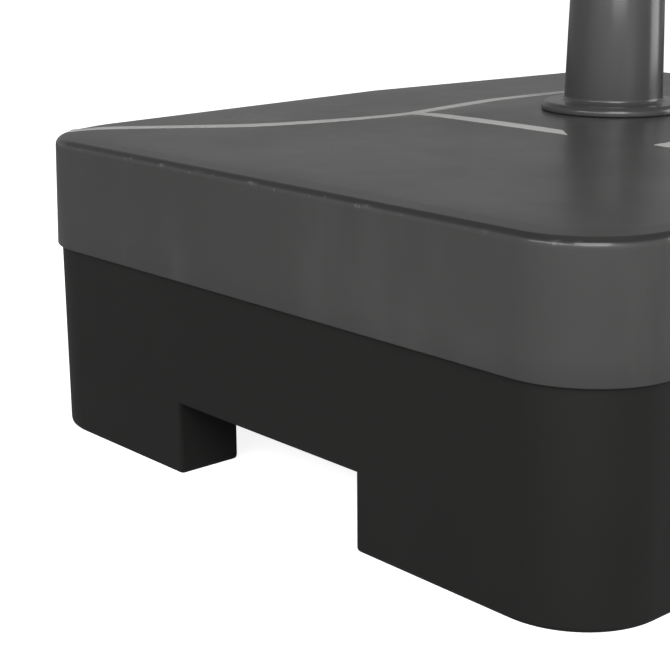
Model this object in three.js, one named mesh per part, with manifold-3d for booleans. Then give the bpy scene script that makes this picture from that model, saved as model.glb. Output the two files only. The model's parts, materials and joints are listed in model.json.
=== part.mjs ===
// A portable basketball hoop: a water-filled ballast base on two transport wheels, a four-section steel
// pole whose upper half slides to set the rim height, a clear backboard on a welded bracket, and a rim
// that folds down against two springs. Millimetres, +Z up. The origin is on the floor under the pole,
// the board faces -Y, and +X is on the right of a player who faces the board.

import * as THREE from "three";
import { mergeVertices } from "three/addons/utils/BufferGeometryUtils.js";
import Module from "manifold-3d";

const wasm = await Module();
wasm.setup();

// ---------------------------------------------------------------- driving dimensions

const GAP = 0.3; // clearance between pieces that rest on or pass through each other

// ballast tank and its lid
const TANK_HALF_X = 250;
const TANK_HALF_Y = 313.5;
const TANK_CORNER = 52;
const TANK_WALL = 4;
const TANK_FLOOR_Z = 47; // underside between the feet
const TANK_TOP_Z = 194;
const FOOT_DEPTH = 45.5;
const NOTCH_WIDTH = 165; // hand hold between the front feet
const SIDE_FOOT_LENGTH = 150;
const FOOT_CHAMFER = 5;
const REAR_FOOT_X = 150;
const HEEL_Y = 262; // the rear feet stop here, so that the tank can roll on its wheels
const COLUMN_R = 40; // the socket that carries the pole through the tank
const COLUMN_TOP = 205;
const LID_OUTSTAND = 3;
const LID_WALL = 2.6;
const LID_BOTTOM_Z = 128;
const LID_RIM_Z = 202;
const LID_RIM_RADIUS = 5.5;
const LID_DRAFT = 1.8; // how much narrower the skirt is at its top
const LID_RISE = 10.5; // height of the hipped top over the rim
const LID_CROWN = 3.7; // extra height at the middle of the long rims
const PLATEAU_RADIUS = 62;
const PLATEAU_Z = LID_RIM_Z + LID_RISE;
const LID_HOLE_R = 36;
const SHOULDER_Z = LID_BOTTOM_Z + 6; // the tank steps in here to carry the lid's skirt
const SHOULDER_INSET = 6;

// pole sections
const POLE_R = 28.5;
const MAST_R = 24;
const TUBE_WALL = 1.5;
const POLE_SEAT_Z = 14;
const NECK_LENGTH = 60; // swaged end that plugs into the next section
const LOWER_POLE_TOP = 560;
const MIDDLE_POLE_TOP = 1300;
const MAST_BOTTOM = 850;
const UPPER_POLE_TOP = 1800;
const TOP_POLE_TOP = 2640;

// pole collar on the lid
const FLANGE_R = 49;
const FLANGE_HEIGHT = 6;
const SLEEVE_FOOT_R = 33.5;
const SLEEVE_TOP_R = 30.6;
const SLEEVE_HEIGHT = 105;

// transport wheels
const WHEEL_R = 45;
const WHEEL_WIDTH = 30;
const WHEEL_X = 199;
const WHEEL_Y = 275;
const WHEEL_Z = 50;
const TREAD_CHAMFER = [4, 5];
const WEB_RECESS = 9; // depth of the hollow between the hub and the tread
const AXLE_R = 5;
const AXLE_END = 158;
const AXLE_HEAD_X = 242;
const AXLE_HEAD_R = 9;
const POCKET_X = [WHEEL_X - 18, WHEEL_X + 18];
const POCKET_Y = 224;
const POCKET_TOP = 104;
const HOUSING_X = 152;
const HOUSING_BOTTOM = 30;

// fill cap and drain plug
const FILL_Y = 240;
const FILL_NECK_R = 26;
const FILL_NECK_TOP = 212;
const FILL_CAP_R = 33;
const FILL_CAP_BOTTOM = 207.5;
const FILL_CAP_TOP = 221;
const FILL_SEAL = 1.5;
const DRAIN_Z = 68;
const DRAIN_R = 8;
const DRAIN_HEAD_R = 13;
const DRAIN_SEAL = 1.2;

// height lock
const COLLAR_R = 37;
const COLLAR_BOTTOM = 1262;
const COLLAR_TOP = 1336;
const BOSS_R = 13;
const BOSS_END = 52;
const KNOB_Z = 1318;
const KNOB_R = 27;
const KNOB_LOBES = 5;
const STUD_R = 4;
const NUT_R = 7.5; // across the corners of every nut and bolt head, halved
const NUT_HEIGHT = 6.5;

// backboard
const BOARD_WIDTH = 760;
const BOARD_HEIGHT = 520;
const BOARD_BOTTOM = 2205;
const BOARD_BACK_Y = -240;
const PANEL_THICKNESS = 3;
const BOARD_CORNER = 18;
const TRIM_WALL = 3;
const TRIM_LIP = 14;
const FRAME_DEPTH = 18;
const FRAME_BAR = 22;
const STRUT_X = 63.5; // the upright channels, at half the rim's bolt spacing
const STRUT_WIDTH = 34;
const STEEL = 2;

// bracket between the pole and the board
const BRACKET_BOTTOM = 2366;
const BRACKET_TOP = 2618;
const BRACKET_PLATE = 4;
const BRACKET_HALF_REAR = 46;
const BRACKET_HALF_FRONT = 88;
const BRACKET_WINDOW = 44;
const WEB_X = 14;
const U_BOLT_R = 4;
const U_BOLT_Z = [2402, 2582];
const FRAME_BOLT_Z = [2392, 2592];

// rim
const RIM_TOP_Z = 2300;
const RIM_ROD_R = 8;
const RIM_INNER_R = 225;
const RIM_Y = -583;
const RIM_BOLT_Z = [2246, 2346];
const RIM_BOLT_R = 4;
const PIVOT_Y = -312;
const PIVOT_Z = 2262;
const PIVOT_R = 4;
const CHEEK_X = 50;
const CHEEK_WALL = 4;
const CHEEK_NOSE = 11; // how far the cheek and the rim's ear reach in front of the pivot
const RIM_FOLD = THREE.MathUtils.degToRad(20);
const RIM_PLATE_BOTTOM = 2284;
const RIM_PLATE_TOP = 2290;
const SPRING_X = 22;
const SPRING_Y = -278;
const SHELF_BOTTOM = 2258;
const SHELF_TOP = 2262;
const SPRING_BOTTOM = 2220;
const NET_BOTTOM = 1890;

// ---------------------------------------------------------------- materials

const plastic = (color, roughness) => new THREE.MeshStandardMaterial({ color, roughness, metalness: 0 });
const metal = (color, roughness) => new THREE.MeshStandardMaterial({ color, roughness, metalness: 0.9 });

const lidPlastic = plastic(0x4d4c4c, 0.45);
const tankPlastic = plastic(0x1d1d1c, 0.55);
const blackPlastic = plastic(0x202020, 0.5);
const poleSteel = plastic(0x3c3c3d, 0.35);
const frameSteel = plastic(0x1b1b1c, 0.4);
const rimSteel = plastic(0xd9541e, 0.4);
const zinc = metal(0xb9bcc0, 0.35);
const springSteel = metal(0x8f9296, 0.3);
const rubber = plastic(0x161616, 0.8);
const clearSheet = new THREE.MeshStandardMaterial({
  color: 0xdfe8ea,
  roughness: 0.08,
  metalness: 0,
  transparent: true,
  opacity: 0.35,
});
const netCord = plastic(0xf1f0ec, 0.9);

// ---------------------------------------------------------------- joining and cutting

// A closed geometry as a solid that can be joined and cut.
function solid(geometry) {
  const bare = geometry.index ? geometry.toNonIndexed() : geometry.clone();
  bare.deleteAttribute("normal");
  bare.deleteAttribute("uv");
  const merged = mergeVertices(bare, 1e-3);
  const vertProperties = new Float32Array(merged.attributes.position.array);
  const triVerts = new Uint32Array(merged.index.array);
  return new wasm.Manifold(new wasm.Mesh({ numProp: 3, vertProperties, triVerts }));
}

function geometryOf(made) {
  const { vertProperties, triVerts } = made.getMesh();
  const geometry = new THREE.BufferGeometry();
  geometry.setAttribute("position", new THREE.BufferAttribute(new Float32Array(vertProperties), 3));
  geometry.setIndex(new THREE.BufferAttribute(new Uint32Array(triVerts), 1));
  return geometry;
}

const join = (...parts) => geometryOf(parts.map(solid).reduce((sum, part) => sum.add(part)));
const cut = (body, ...tools) =>
  geometryOf(tools.map(solid).reduce((rest, tool) => rest.subtract(tool), solid(body)));
const common = (a, b) => geometryOf(solid(a).intersect(solid(b)));

// ---------------------------------------------------------------- basic shapes

function box([x0, x1], [y0, y1], [z0, z1]) {
  const size = [Math.abs(x1 - x0), Math.abs(y1 - y0), Math.abs(z1 - z0)];
  return new THREE.BoxGeometry(...size).translate((x0 + x1) / 2, (y0 + y1) / 2, (z0 + z1) / 2);
}

const ROUND_SIDES = 24; // flats round a tube or a turned piece
const ROD_SIDES = 12; // flats round a bolt, a pin or a hole for one

const QUARTER = Math.PI / 2;
const rod = (r, [start, end], sides) => new THREE.CylinderGeometry(r, r, Math.abs(end - start), sides);
const rodX = (r, span, y, z, sides = ROD_SIDES) =>
  rod(r, span, sides).rotateZ(QUARTER).translate((span[0] + span[1]) / 2, y, z);
const rodY = (r, span, x, z, sides = ROD_SIDES) =>
  rod(r, span, sides).translate(x, (span[0] + span[1]) / 2, z);
const rodZ = (r, span, x, y, sides = ROD_SIDES) =>
  rod(r, span, sides).rotateX(QUARTER).translate(x, y, (span[0] + span[1]) / 2);

// Turns a profile of [radius, height] points about the Z axis. The profile runs counter-clockwise.
const turned = (profile, sides = ROUND_SIDES) =>
  new THREE.LatheGeometry(profile.map(([r, z]) => new THREE.Vector2(r, z)), sides).rotateX(Math.PI / 2);

// The same for a profile that closes on itself and stays off the axis, such as a tube's wall.
const closedTurn = (profile, sides = ROUND_SIDES) => turned([...profile, profile[0]], sides);

function polygon(points) {
  return new THREE.Shape(points.map(([u, v]) => new THREE.Vector2(u, v)));
}

function roundedRect(halfU, halfV, radius, [centreU, centreV] = [0, 0]) {
  const shape = new THREE.Shape();
  const corners = [
    [1, 1, 0],
    [-1, 1, 1],
    [-1, -1, 2],
    [1, -1, 3],
  ];
  for (const [signU, signV, quarter] of corners) {
    const u = centreU + signU * (halfU - radius);
    const v = centreV + signV * (halfV - radius);
    const start = (quarter * Math.PI) / 2;
    shape.absarc(u, v, radius, start, start + Math.PI / 2, false);
  }
  return shape;
}

const CORNER_STEPS = 6; // straight lengths in a quarter circle of the base's outline

// A shape drawn in (x, y) and pulled along Z. An arc of it gets twice curveSegments straight lengths.
const prismZ = (shape, [z0, z1], curveSegments = CORNER_STEPS / 2) =>
  new THREE.ExtrudeGeometry(shape, { depth: z1 - z0, bevelEnabled: false, curveSegments })
    .translate(0, 0, z0);

// A solid through convex outlines stacked along Z, given from the bottom up as [shape, z] pairs.
function stackZ(levels) {
  const rings = levels.map(([shape, z]) => shape.getPoints(CORNER_STEPS / 2).map(({ x, y }) => [x, y, z]));
  const count = rings[0].length;
  const top = (rings.length - 1) * count;
  const index = [];
  for (let i = 1; i < count - 1; i += 1) {
    index.push(0, i + 1, i, top, top + i, top + i + 1);
  }
  for (let ring = 0; ring < top; ring += count) {
    for (let i = 0; i < count; i += 1) {
      const j = (i + 1) % count;
      index.push(ring + i, ring + j, ring + count + j, ring + i, ring + count + j, ring + count + i);
    }
  }
  const geometry = new THREE.BufferGeometry();
  geometry.setAttribute("position", new THREE.Float32BufferAttribute(rings.flat(2), 3));
  return geometry.setIndex(index);
}

// A shape drawn in (x, z) and pulled along Y, and one drawn in (y, z) and pulled along X.
const prismY = (shape, [y0, y1], curveSegments = 2) =>
  new THREE.ExtrudeGeometry(shape, { depth: y1 - y0, bevelEnabled: false, curveSegments })
    .rotateX(Math.PI / 2)
    .translate(0, y1, 0);
const prismX = (shape, [x0, x1], curveSegments = 2) =>
  new THREE.ExtrudeGeometry(shape, { depth: x1 - x0, bevelEnabled: false, curveSegments })
    .rotateX(Math.PI / 2)
    .rotateZ(Math.PI / 2)
    .translate(x0, 0, 0);

// A round bar bent along a curve.
function bentBar(curve, radius, steps, sides = 6) {
  const section = new THREE.Shape().absarc(0, 0, radius, 0, 2 * Math.PI, false);
  const points = section.getPoints(sides).slice(0, sides);
  return new THREE.ExtrudeGeometry(new THREE.Shape(points), {
    steps,
    extrudePath: curve,
    bevelEnabled: false,
  });
}

// Six-sided nuts and bolt heads, along Y or along Z.
const hexY = (r, span, x, z) => rodY(r, span, x, z, 6);
const hexZ = (r, span, x, y) => rodZ(r, span, x, y, 6);

// ---------------------------------------------------------------- the assembly

const hoop = new THREE.Group();

function add(name, geometry, material) {
  const mesh = new THREE.Mesh(geometry, material);
  mesh.name = name;
  hoop.add(mesh);
  return mesh;
}

const SIDES = [
  ["left", -1],
  ["right", 1],
];

// Two distances from the middle plane, as an ordered span on one side of it.
const mirrored = (side, a, b) => (side > 0 ? [a, b] : [-b, -a]);

// ---------------------------------------------------------------- ballast tank

// The outline of the tank, drawn in by some distance.
const tankOutline = (inset) => roundedRect(TANK_HALF_X - inset, TANK_HALF_Y - inset, TANK_CORNER - inset);

const HOUSING_FRONT = POCKET_Y - TANK_WALL;
const CAVITY_STEPS = 2; // half the straight lengths in a quarter circle of the hollow

// Spans of the feet in x and y, on one side.
function feet(side) {
  const notch = NOTCH_WIDTH / 2;
  const inner = TANK_HALF_X - FOOT_DEPTH;
  return [
    [mirrored(side, notch, TANK_HALF_X), [-TANK_HALF_Y, -TANK_HALF_Y + FOOT_DEPTH]],
    [mirrored(side, inner, TANK_HALF_X), [-TANK_HALF_Y, -TANK_HALF_Y + SIDE_FOOT_LENGTH]],
    [mirrored(side, notch, REAR_FOOT_X), [HEEL_Y - FOOT_DEPTH, HEEL_Y]],
    [mirrored(side, inner, TANK_HALF_X), [HOUSING_FRONT - SIDE_FOOT_LENGTH, HOUSING_FRONT]],
  ];
}

const shrink = ([a, b], d) => [a + d, b - d];

// The block round one wheel pocket, between two heights.
const housing = (side, height) =>
  box(mirrored(side, HOUSING_X, TANK_HALF_X), [HOUSING_FRONT, TANK_HALF_Y], height);

// One foot: a block with a chamfered lower edge.
function footBlock([[x0, x1], [y0, y1]]) {
  const outline = (inset) =>
    polygon([
      [x0 + inset, y0 + inset],
      [x1 - inset, y0 + inset],
      [x1 - inset, y1 - inset],
      [x0 + inset, y1 - inset],
    ]);
  return stackZ([
    [outline(FOOT_CHAMFER), 0],
    [outline(0), FOOT_CHAMFER],
    [outline(0), TANK_FLOOR_Z + 1],
  ]);
}

function baseTank() {
  const outline = stackZ([
    [tankOutline(FOOT_CHAMFER), 0],
    [tankOutline(0), FOOT_CHAMFER],
    [tankOutline(0), TANK_FLOOR_Z + 1],
  ]);
  const footBlocks = SIDES.flatMap(([, side]) => feet(side)).map(footBlock);
  const housings = SIDES.map(([, side]) => housing(side, [HOUSING_BOTTOM, TANK_FLOOR_Z + 1]));
  const under = common(join(...footBlocks, ...housings), outline);
  const outside = join(
    prismZ(tankOutline(0), [TANK_FLOOR_Z, SHOULDER_Z]),
    prismZ(tankOutline(SHOULDER_INSET), [SHOULDER_Z - 1, TANK_TOP_Z]),
    under,
    rodZ(COLUMN_R, [0, COLUMN_TOP], 0, 0, ROUND_SIDES),
    rodZ(FILL_NECK_R, [TANK_TOP_Z - 1, FILL_NECK_TOP], 0, FILL_Y, ROUND_SIDES),
  );
  return cut(
    outside,
    tankCavity(),
    rodZ(POLE_R + GAP, [POLE_SEAT_Z - GAP, COLUMN_TOP + 1], 0, 0, ROUND_SIDES),
    rodZ(FILL_NECK_R - TANK_WALL, [TANK_TOP_Z - TANK_WALL - 1, FILL_NECK_TOP + 1], 0, FILL_Y, ROUND_SIDES),
    rodY(DRAIN_R + GAP, [TANK_HALF_Y - TANK_WALL - 1, TANK_HALF_Y + 1], 0, DRAIN_Z),
    ...SIDES.flatMap(([, side]) => wheelCuts(side)),
  );
}

// The hollow that holds the water: the inset tank and feet, less the pole socket and wheel housings.
function tankCavity() {
  const inset = prismZ(tankOutline(TANK_WALL), [TANK_WALL, SHOULDER_Z - TANK_WALL], CAVITY_STEPS);
  const footHollows = SIDES.flatMap(([, side]) => feet(side)).map(([x, y]) =>
    box(shrink(x, TANK_WALL), shrink(y, TANK_WALL), [TANK_WALL, TANK_FLOOR_Z + TANK_WALL + 1]),
  );
  const hollow = join(
    common(join(...footHollows), inset),
    prismZ(tankOutline(TANK_WALL), [TANK_FLOOR_Z + TANK_WALL, SHOULDER_Z - TANK_WALL], CAVITY_STEPS),
    prismZ(
      tankOutline(SHOULDER_INSET + TANK_WALL),
      [SHOULDER_Z - TANK_WALL - 1, TANK_TOP_Z - TANK_WALL],
      CAVITY_STEPS,
    ),
  );
  const housings = SIDES.map(([, side]) => housing(side, [0, POCKET_TOP + TANK_WALL]));
  return cut(hollow, rodZ(COLUMN_R, [0, TANK_TOP_Z], 0, 0, ROUND_SIDES), ...housings);
}

// The wheel's pocket, the blind axle hole and the recess for the axle's head.
function wheelCuts(side) {
  return [
    box(mirrored(side, ...POCKET_X), [POCKET_Y, TANK_HALF_Y + 1], [0, POCKET_TOP]),
    rodX(AXLE_R + GAP, mirrored(side, AXLE_END, TANK_HALF_X + 1), WHEEL_Y, WHEEL_Z),
    rodX(AXLE_HEAD_R + 2, mirrored(side, AXLE_HEAD_X, TANK_HALF_X + 1), WHEEL_Y, WHEEL_Z),
  ];
}

// ---------------------------------------------------------------- lid

// Points round the lid's outline at half sizes (halfX, halfY), with one in the middle of each side.
function lidOutline(halfX, halfY, corner, steps = CORNER_STEPS) {
  const points = [];
  for (let quarter = 0; quarter < 4; quarter += 1) {
    const signX = quarter === 0 || quarter === 3 ? 1 : -1;
    const signY = quarter < 2 ? 1 : -1;
    const middle = [[halfX, 0], [0, halfY], [-halfX, 0], [0, -halfY]][quarter];
    points.push(middle);
    for (let step = 0; step <= steps; step += 1) {
      const angle = ((quarter + step / steps) * Math.PI) / 2;
      const x = signX * (halfX - corner) + corner * Math.cos(angle);
      const y = signY * (halfY - corner) + corner * Math.sin(angle);
      points.push([x, y]);
    }
  }
  return points;
}

const LID_HALF_X = TANK_HALF_X + LID_OUTSTAND;
const LID_HALF_Y = TANK_HALF_Y + LID_OUTSTAND;
const LID_CORNER = TANK_CORNER + LID_OUTSTAND;

// One ring of the lid: the outline drawn in by inset, shrunk by share, morphed to a circle by round.
function lidRing({ inset = 0, share = 1, round = 0, radius = 0, drop = 0, level }) {
  const outline = lidOutline(LID_HALF_X - inset, LID_HALF_Y - inset, LID_CORNER - inset);
  return outline.map(([x, y], i) => {
    const angle = (i / outline.length) * 2 * Math.PI;
    const px = THREE.MathUtils.lerp(x * share, radius * Math.cos(angle), round);
    const py = THREE.MathUtils.lerp(y * share, radius * Math.sin(angle), round);
    const crown = LID_CROWN * share * (1 - Math.abs(y) / LID_HALF_Y) * (1 - round);
    const z = level ?? LID_RIM_Z + LID_RISE * (1 - share) + crown - drop;
    return [px, py, z];
  });
}

// A closed skin through rings of equal length, the last joined to the first.
function ringSkin(rings) {
  const count = rings[0].length;
  const positions = rings.flat(2);
  const index = [];
  for (let ring = 0; ring < rings.length; ring += 1) {
    const next = (ring + 1) % rings.length;
    for (let i = 0; i < count; i += 1) {
      const j = (i + 1) % count;
      const [a, b, c, d] = [ring * count + i, ring * count + j, next * count + j, next * count + i];
      index.push(a, b, c, a, c, d);
    }
  }
  const geometry = new THREE.BufferGeometry();
  geometry.setAttribute("position", new THREE.Float32BufferAttribute(positions, 3));
  geometry.setIndex(index);
  return geometry;
}

function baseLid() {
  const shares = [0.7, 0.4];
  const fillet = [0, 0.33, 0.67, 1].map((t) => {
    const angle = (t * Math.PI) / 2;
    const inset = LID_DRAFT + LID_RIM_RADIUS * (1 - Math.cos(angle));
    const drop = LID_RIM_RADIUS * (1 - Math.sin(angle));
    return lidRing({ inset, drop });
  });
  const under = LID_DRAFT + LID_WALL;
  const skin = ringSkin([
    lidRing({ inset: 0, level: LID_BOTTOM_Z }),
    ...fillet,
    ...shares.map((share) => lidRing({ inset: LID_DRAFT, share })),
    lidRing({ radius: PLATEAU_RADIUS, round: 1, level: PLATEAU_Z }),
    lidRing({ radius: LID_HOLE_R, round: 1, level: PLATEAU_Z }),
    lidRing({ radius: LID_HOLE_R, round: 1, level: PLATEAU_Z - LID_WALL }),
    lidRing({ radius: PLATEAU_RADIUS, round: 1, level: PLATEAU_Z - LID_WALL }),
    ...shares.reverse().map((share) => lidRing({ inset: LID_DRAFT, share, drop: LID_WALL })),
    lidRing({ inset: under + LID_RIM_RADIUS - LID_WALL, drop: LID_WALL }),
    lidRing({ inset: under, drop: LID_RIM_RADIUS }),
    lidRing({ inset: LID_WALL, level: LID_BOTTOM_Z }),
  ]);
  return cut(skin, rodZ(FILL_NECK_R + 2, [LID_BOTTOM_Z, PLATEAU_Z + 10], 0, FILL_Y, ROUND_SIDES));
}

add("base_tank", baseTank(), tankPlastic);
add("base_lid", baseLid(), lidPlastic);

// ---------------------------------------------------------------- fill cap and drain plug

const SEAL_TOP = FILL_NECK_TOP + FILL_SEAL;

// A shallow cap over the neck, with a finger bar across its top.
function fillCap() {
  const skirtR = FILL_NECK_R + 1;
  const bevel = 3;
  const barReach = FILL_CAP_R - 8;
  const shell = turned([
    [0, SEAL_TOP],
    [skirtR, SEAL_TOP],
    [skirtR, FILL_CAP_BOTTOM],
    [FILL_CAP_R, FILL_CAP_BOTTOM],
    [FILL_CAP_R, FILL_CAP_TOP - bevel],
    [FILL_CAP_R - bevel, FILL_CAP_TOP],
    [0, FILL_CAP_TOP],
  ]).translate(0, FILL_Y, 0);
  const bar = box([-barReach, barReach], [FILL_Y - 4, FILL_Y + 4], [FILL_CAP_TOP - 1, FILL_CAP_TOP + 7]);
  return join(shell, bar);
}

function fillSeal() {
  const [inner, outer] = [FILL_NECK_R - 3.5, FILL_NECK_R - 0.5];
  const section = [
    [inner, FILL_NECK_TOP],
    [outer, FILL_NECK_TOP],
    [outer, SEAL_TOP],
    [inner, SEAL_TOP],
  ];
  return closedTurn(section).translate(0, FILL_Y, 0);
}

// A screwed plug with a coin slot across its head.
function drainPlug() {
  const face = TANK_HALF_Y + DRAIN_SEAL;
  const headTop = face + 5.5;
  const head = rodY(DRAIN_HEAD_R, [face, headTop], 0, DRAIN_Z, 20);
  const shank = rodY(DRAIN_R, [TANK_HALF_Y - 14, face + 1], 0, DRAIN_Z);
  const slot = box([-9, 9], [headTop - 2.5, headTop + 1], [DRAIN_Z - 1.5, DRAIN_Z + 1.5]);
  return cut(join(head, shank), slot);
}

function drainSeal() {
  const disc = rodY(DRAIN_HEAD_R - 1, [TANK_HALF_Y, TANK_HALF_Y + DRAIN_SEAL], 0, DRAIN_Z, 20);
  return cut(disc, rodY(DRAIN_R + GAP, [TANK_HALF_Y - 1, TANK_HALF_Y + DRAIN_SEAL + 1], 0, DRAIN_Z));
}

add("fill_cap", fillCap(), blackPlastic);
add("fill_cap_seal", fillSeal(), rubber);

add("drain_plug", drainPlug(), blackPlastic);
add("drain_plug_seal", drainSeal(), rubber);

// ---------------------------------------------------------------- transport wheels

// A solid plastic wheel with a bored hub, a thin web and a chamfered tread.
function wheel() {
  const half = WHEEL_WIDTH / 2;
  const web = half - WEB_RECESS;
  const [chamferR, chamferX] = TREAD_CHAMFER;
  const bore = AXLE_R + GAP;
  const rightHalf = [
    [WHEEL_R, half - chamferX],
    [WHEEL_R - chamferR, half],
    [WHEEL_R - 9, half],
    [WHEEL_R - 12, web],
    [bore + 10, web],
    [bore + 8, half],
    [bore, half],
  ];
  const leftHalf = rightHalf.map(([r, x]) => [r, -x]).reverse();
  return closedTurn([...leftHalf, ...rightHalf], 18).rotateY(Math.PI / 2);
}

function axle(side) {
  const shank = rodX(AXLE_R, [side * (AXLE_END + 1), side * (AXLE_HEAD_X + 2)], WHEEL_Y, WHEEL_Z);
  const head = rodX(AXLE_HEAD_R, [side * (AXLE_HEAD_X + GAP), side * (AXLE_HEAD_X + 5)], WHEEL_Y, WHEEL_Z, 6);
  return join(shank, head);
}

for (const [label, side] of SIDES) {
  add(`wheel_${label}`, wheel(), blackPlastic).position.set(side * WHEEL_X, WHEEL_Y, WHEEL_Z);
  add(`wheel_axle_${label}`, axle(side), zinc);
}

// ---------------------------------------------------------------- pole sections

// A steel tube with a swaged neck at its top end, or a plain one when the neck is left out.
function tube(radius, [z0, z1], neck = 0) {
  const inner = radius - TUBE_WALL;
  if (!neck) {
    return closedTurn([[inner, z0], [radius, z0], [radius, z1], [inner, z1]]);
  }
  const neckOuter = inner - GAP;
  const neckInner = neckOuter - TUBE_WALL;
  const shoulder = z1 - neck;
  return closedTurn([
    [inner, z0],
    [radius, z0],
    [radius, shoulder - GAP],
    [neckOuter, shoulder + 1],
    [neckOuter, z1],
    [neckInner, z1],
    [neckInner, shoulder - GAP],
    [inner, shoulder - 3],
  ]);
}

const SCREW_R = 2.5;
const LOWER_SCREW_Z = LOWER_POLE_TOP - 30;
const UPPER_SCREW_Z = UPPER_POLE_TOP - 30;
const COLLAR_SCREW_Z = PLATEAU_Z + 78;

// A hole through the rear wall of a tube, for a screw along Y.
const screwHole = (radius, z) => rodY(SCREW_R + GAP, [radius - 8, radius + 6], 0, z, 10);

function tubeScrew(radius, z) {
  const head = hexY(5.5, [radius + GAP, radius + 4], 0, z);
  const shank = rodY(SCREW_R, [radius - 7, radius + 1], 0, z, 10);
  return join(head, shank);
}

const lowerPole = cut(
  tube(POLE_R, [POLE_SEAT_Z, LOWER_POLE_TOP], NECK_LENGTH),
  screwHole(POLE_R, COLLAR_SCREW_Z),
  screwHole(POLE_R, LOWER_SCREW_Z),
);
const middlePole = cut(
  tube(POLE_R, [LOWER_POLE_TOP - NECK_LENGTH + 1.5, MIDDLE_POLE_TOP]),
  screwHole(POLE_R, LOWER_SCREW_Z),
);
const upperPole = cut(
  tube(MAST_R, [MAST_BOTTOM, UPPER_POLE_TOP], NECK_LENGTH),
  screwHole(MAST_R, UPPER_SCREW_Z),
);
const topPole = cut(
  tube(MAST_R, [UPPER_POLE_TOP - NECK_LENGTH + 1.5, TOP_POLE_TOP]),
  screwHole(MAST_R, UPPER_SCREW_Z),
);

add("lower_pole", lowerPole, poleSteel);
add("middle_pole", middlePole, poleSteel);
add("upper_pole", upperPole, poleSteel);
add("top_pole", topPole, poleSteel);
add("lower_joint_screw", tubeScrew(POLE_R, LOWER_SCREW_Z), zinc);
add("upper_joint_screw", tubeScrew(MAST_R, UPPER_SCREW_Z), zinc);

// The collar on the lid: a flange, a fillet, a tapered sleeve and a spigot through the lid.
function poleCollar() {
  const bore = POLE_R + GAP;
  const foot = PLATEAU_Z + GAP;
  const top = foot + FLANGE_HEIGHT;
  const shell = closedTurn([
    [bore, foot - 6],
    [LID_HOLE_R - 1.5, foot - 6],
    [LID_HOLE_R - 1.5, foot],
    [FLANGE_R - 1, foot],
    [FLANGE_R, foot + 1],
    [FLANGE_R, foot + 4],
    [FLANGE_R - 2, top],
    [SLEEVE_FOOT_R + 4, top + 0.5],
    [SLEEVE_FOOT_R + 3, top + 4],
    [SLEEVE_FOOT_R, top + 6],
    [SLEEVE_TOP_R, foot + SLEEVE_HEIGHT],
    [bore, foot + SLEEVE_HEIGHT],
  ]);
  return cut(shell, rodY(SCREW_R + GAP, [POLE_R - 2, POLE_R + 8], 0, COLLAR_SCREW_Z, 10));
}

add("pole_collar", poleCollar(), lidPlastic);
add("collar_screw", tubeScrew(SLEEVE_TOP_R + 0.8, COLLAR_SCREW_Z), zinc);

// The bush in the mouth of the middle pole, and the glide on the foot of the sliding mast.
const BUSH_R = POLE_R - TUBE_WALL - GAP;

function poleBush() {
  const lip = MIDDLE_POLE_TOP + GAP;
  return closedTurn([
    [MAST_R + GAP, MIDDLE_POLE_TOP - 60],
    [BUSH_R, MIDDLE_POLE_TOP - 60],
    [BUSH_R, lip],
    [POLE_R, lip],
    [POLE_R, lip + 3],
    [MAST_R + GAP, lip + 3],
  ]);
}

function mastGlide() {
  const spigot = MAST_R - TUBE_WALL - GAP;
  const seat = MAST_BOTTOM - GAP;
  return closedTurn([
    [spigot - 3, seat - 20],
    [BUSH_R, seat - 20],
    [BUSH_R, seat],
    [spigot, seat],
    [spigot, seat + 30],
    [spigot - 3, seat + 30],
  ]);
}

add("pole_bush", poleBush(), blackPlastic);
add("mast_glide", mastGlide(), blackPlastic);

function poleCap() {
  const seat = TOP_POLE_TOP + GAP;
  const spigot = MAST_R - TUBE_WALL - GAP;
  return turned([
    [0, seat - 18],
    [spigot, seat - 18],
    [spigot, seat],
    [MAST_R + 1, seat],
    [MAST_R + 1, seat + 4],
    [MAST_R * 0.7, seat + 9],
    [0, seat + 11],
  ]);
}

add("pole_cap", poleCap(), blackPlastic);

// ---------------------------------------------------------------- height lock

// A collar that caps the middle pole and carries the knob's boss.
function heightCollar() {
  const shell = closedTurn([
    [POLE_R + GAP, COLLAR_BOTTOM],
    [COLLAR_R - 3, COLLAR_BOTTOM],
    [COLLAR_R, COLLAR_BOTTOM + 3],
    [COLLAR_R, COLLAR_TOP - 3],
    [COLLAR_R - 3, COLLAR_TOP],
    [MAST_R + GAP, COLLAR_TOP],
    [MAST_R + GAP, MIDDLE_POLE_TOP + 4],
    [POLE_R + GAP, MIDDLE_POLE_TOP + 4],
  ]);
  const boss = rodY(BOSS_R, [MAST_R + 3, BOSS_END], 0, KNOB_Z, 20);
  return cut(
    join(shell, boss),
    rodY(STUD_R + GAP, [MAST_R - 1, BOSS_END + 1], 0, KNOB_Z),
    hexY(NUT_R + GAP, [BOSS_END - 7, BOSS_END + 1], 0, KNOB_Z),
  );
}

function lockNut() {
  return cut(
    hexY(NUT_R, [BOSS_END - 7 + GAP, BOSS_END - 0.5], 0, KNOB_Z),
    rodY(STUD_R + GAP, [BOSS_END - 8, BOSS_END + 1], 0, KNOB_Z),
  );
}

// A lobed knob with the stud moulded into it.
function lockKnob() {
  const points = [];
  const count = KNOB_LOBES * 8;
  for (let i = 0; i < count; i += 1) {
    const angle = (i / count) * 2 * Math.PI;
    const r = KNOB_R * (0.88 + 0.12 * Math.cos(KNOB_LOBES * angle));
    points.push([r * Math.cos(angle), KNOB_Z + r * Math.sin(angle)]);
  }
  const grip = prismY(polygon(points), [BOSS_END + 2, BOSS_END + 20]);
  const hub = rodY(11, [BOSS_END + GAP, BOSS_END + 3], 0, KNOB_Z, 20);
  const stud = rodY(STUD_R, [MAST_R + 0.6, BOSS_END + 13], 0, KNOB_Z);
  return join(grip, hub, stud);
}

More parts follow.
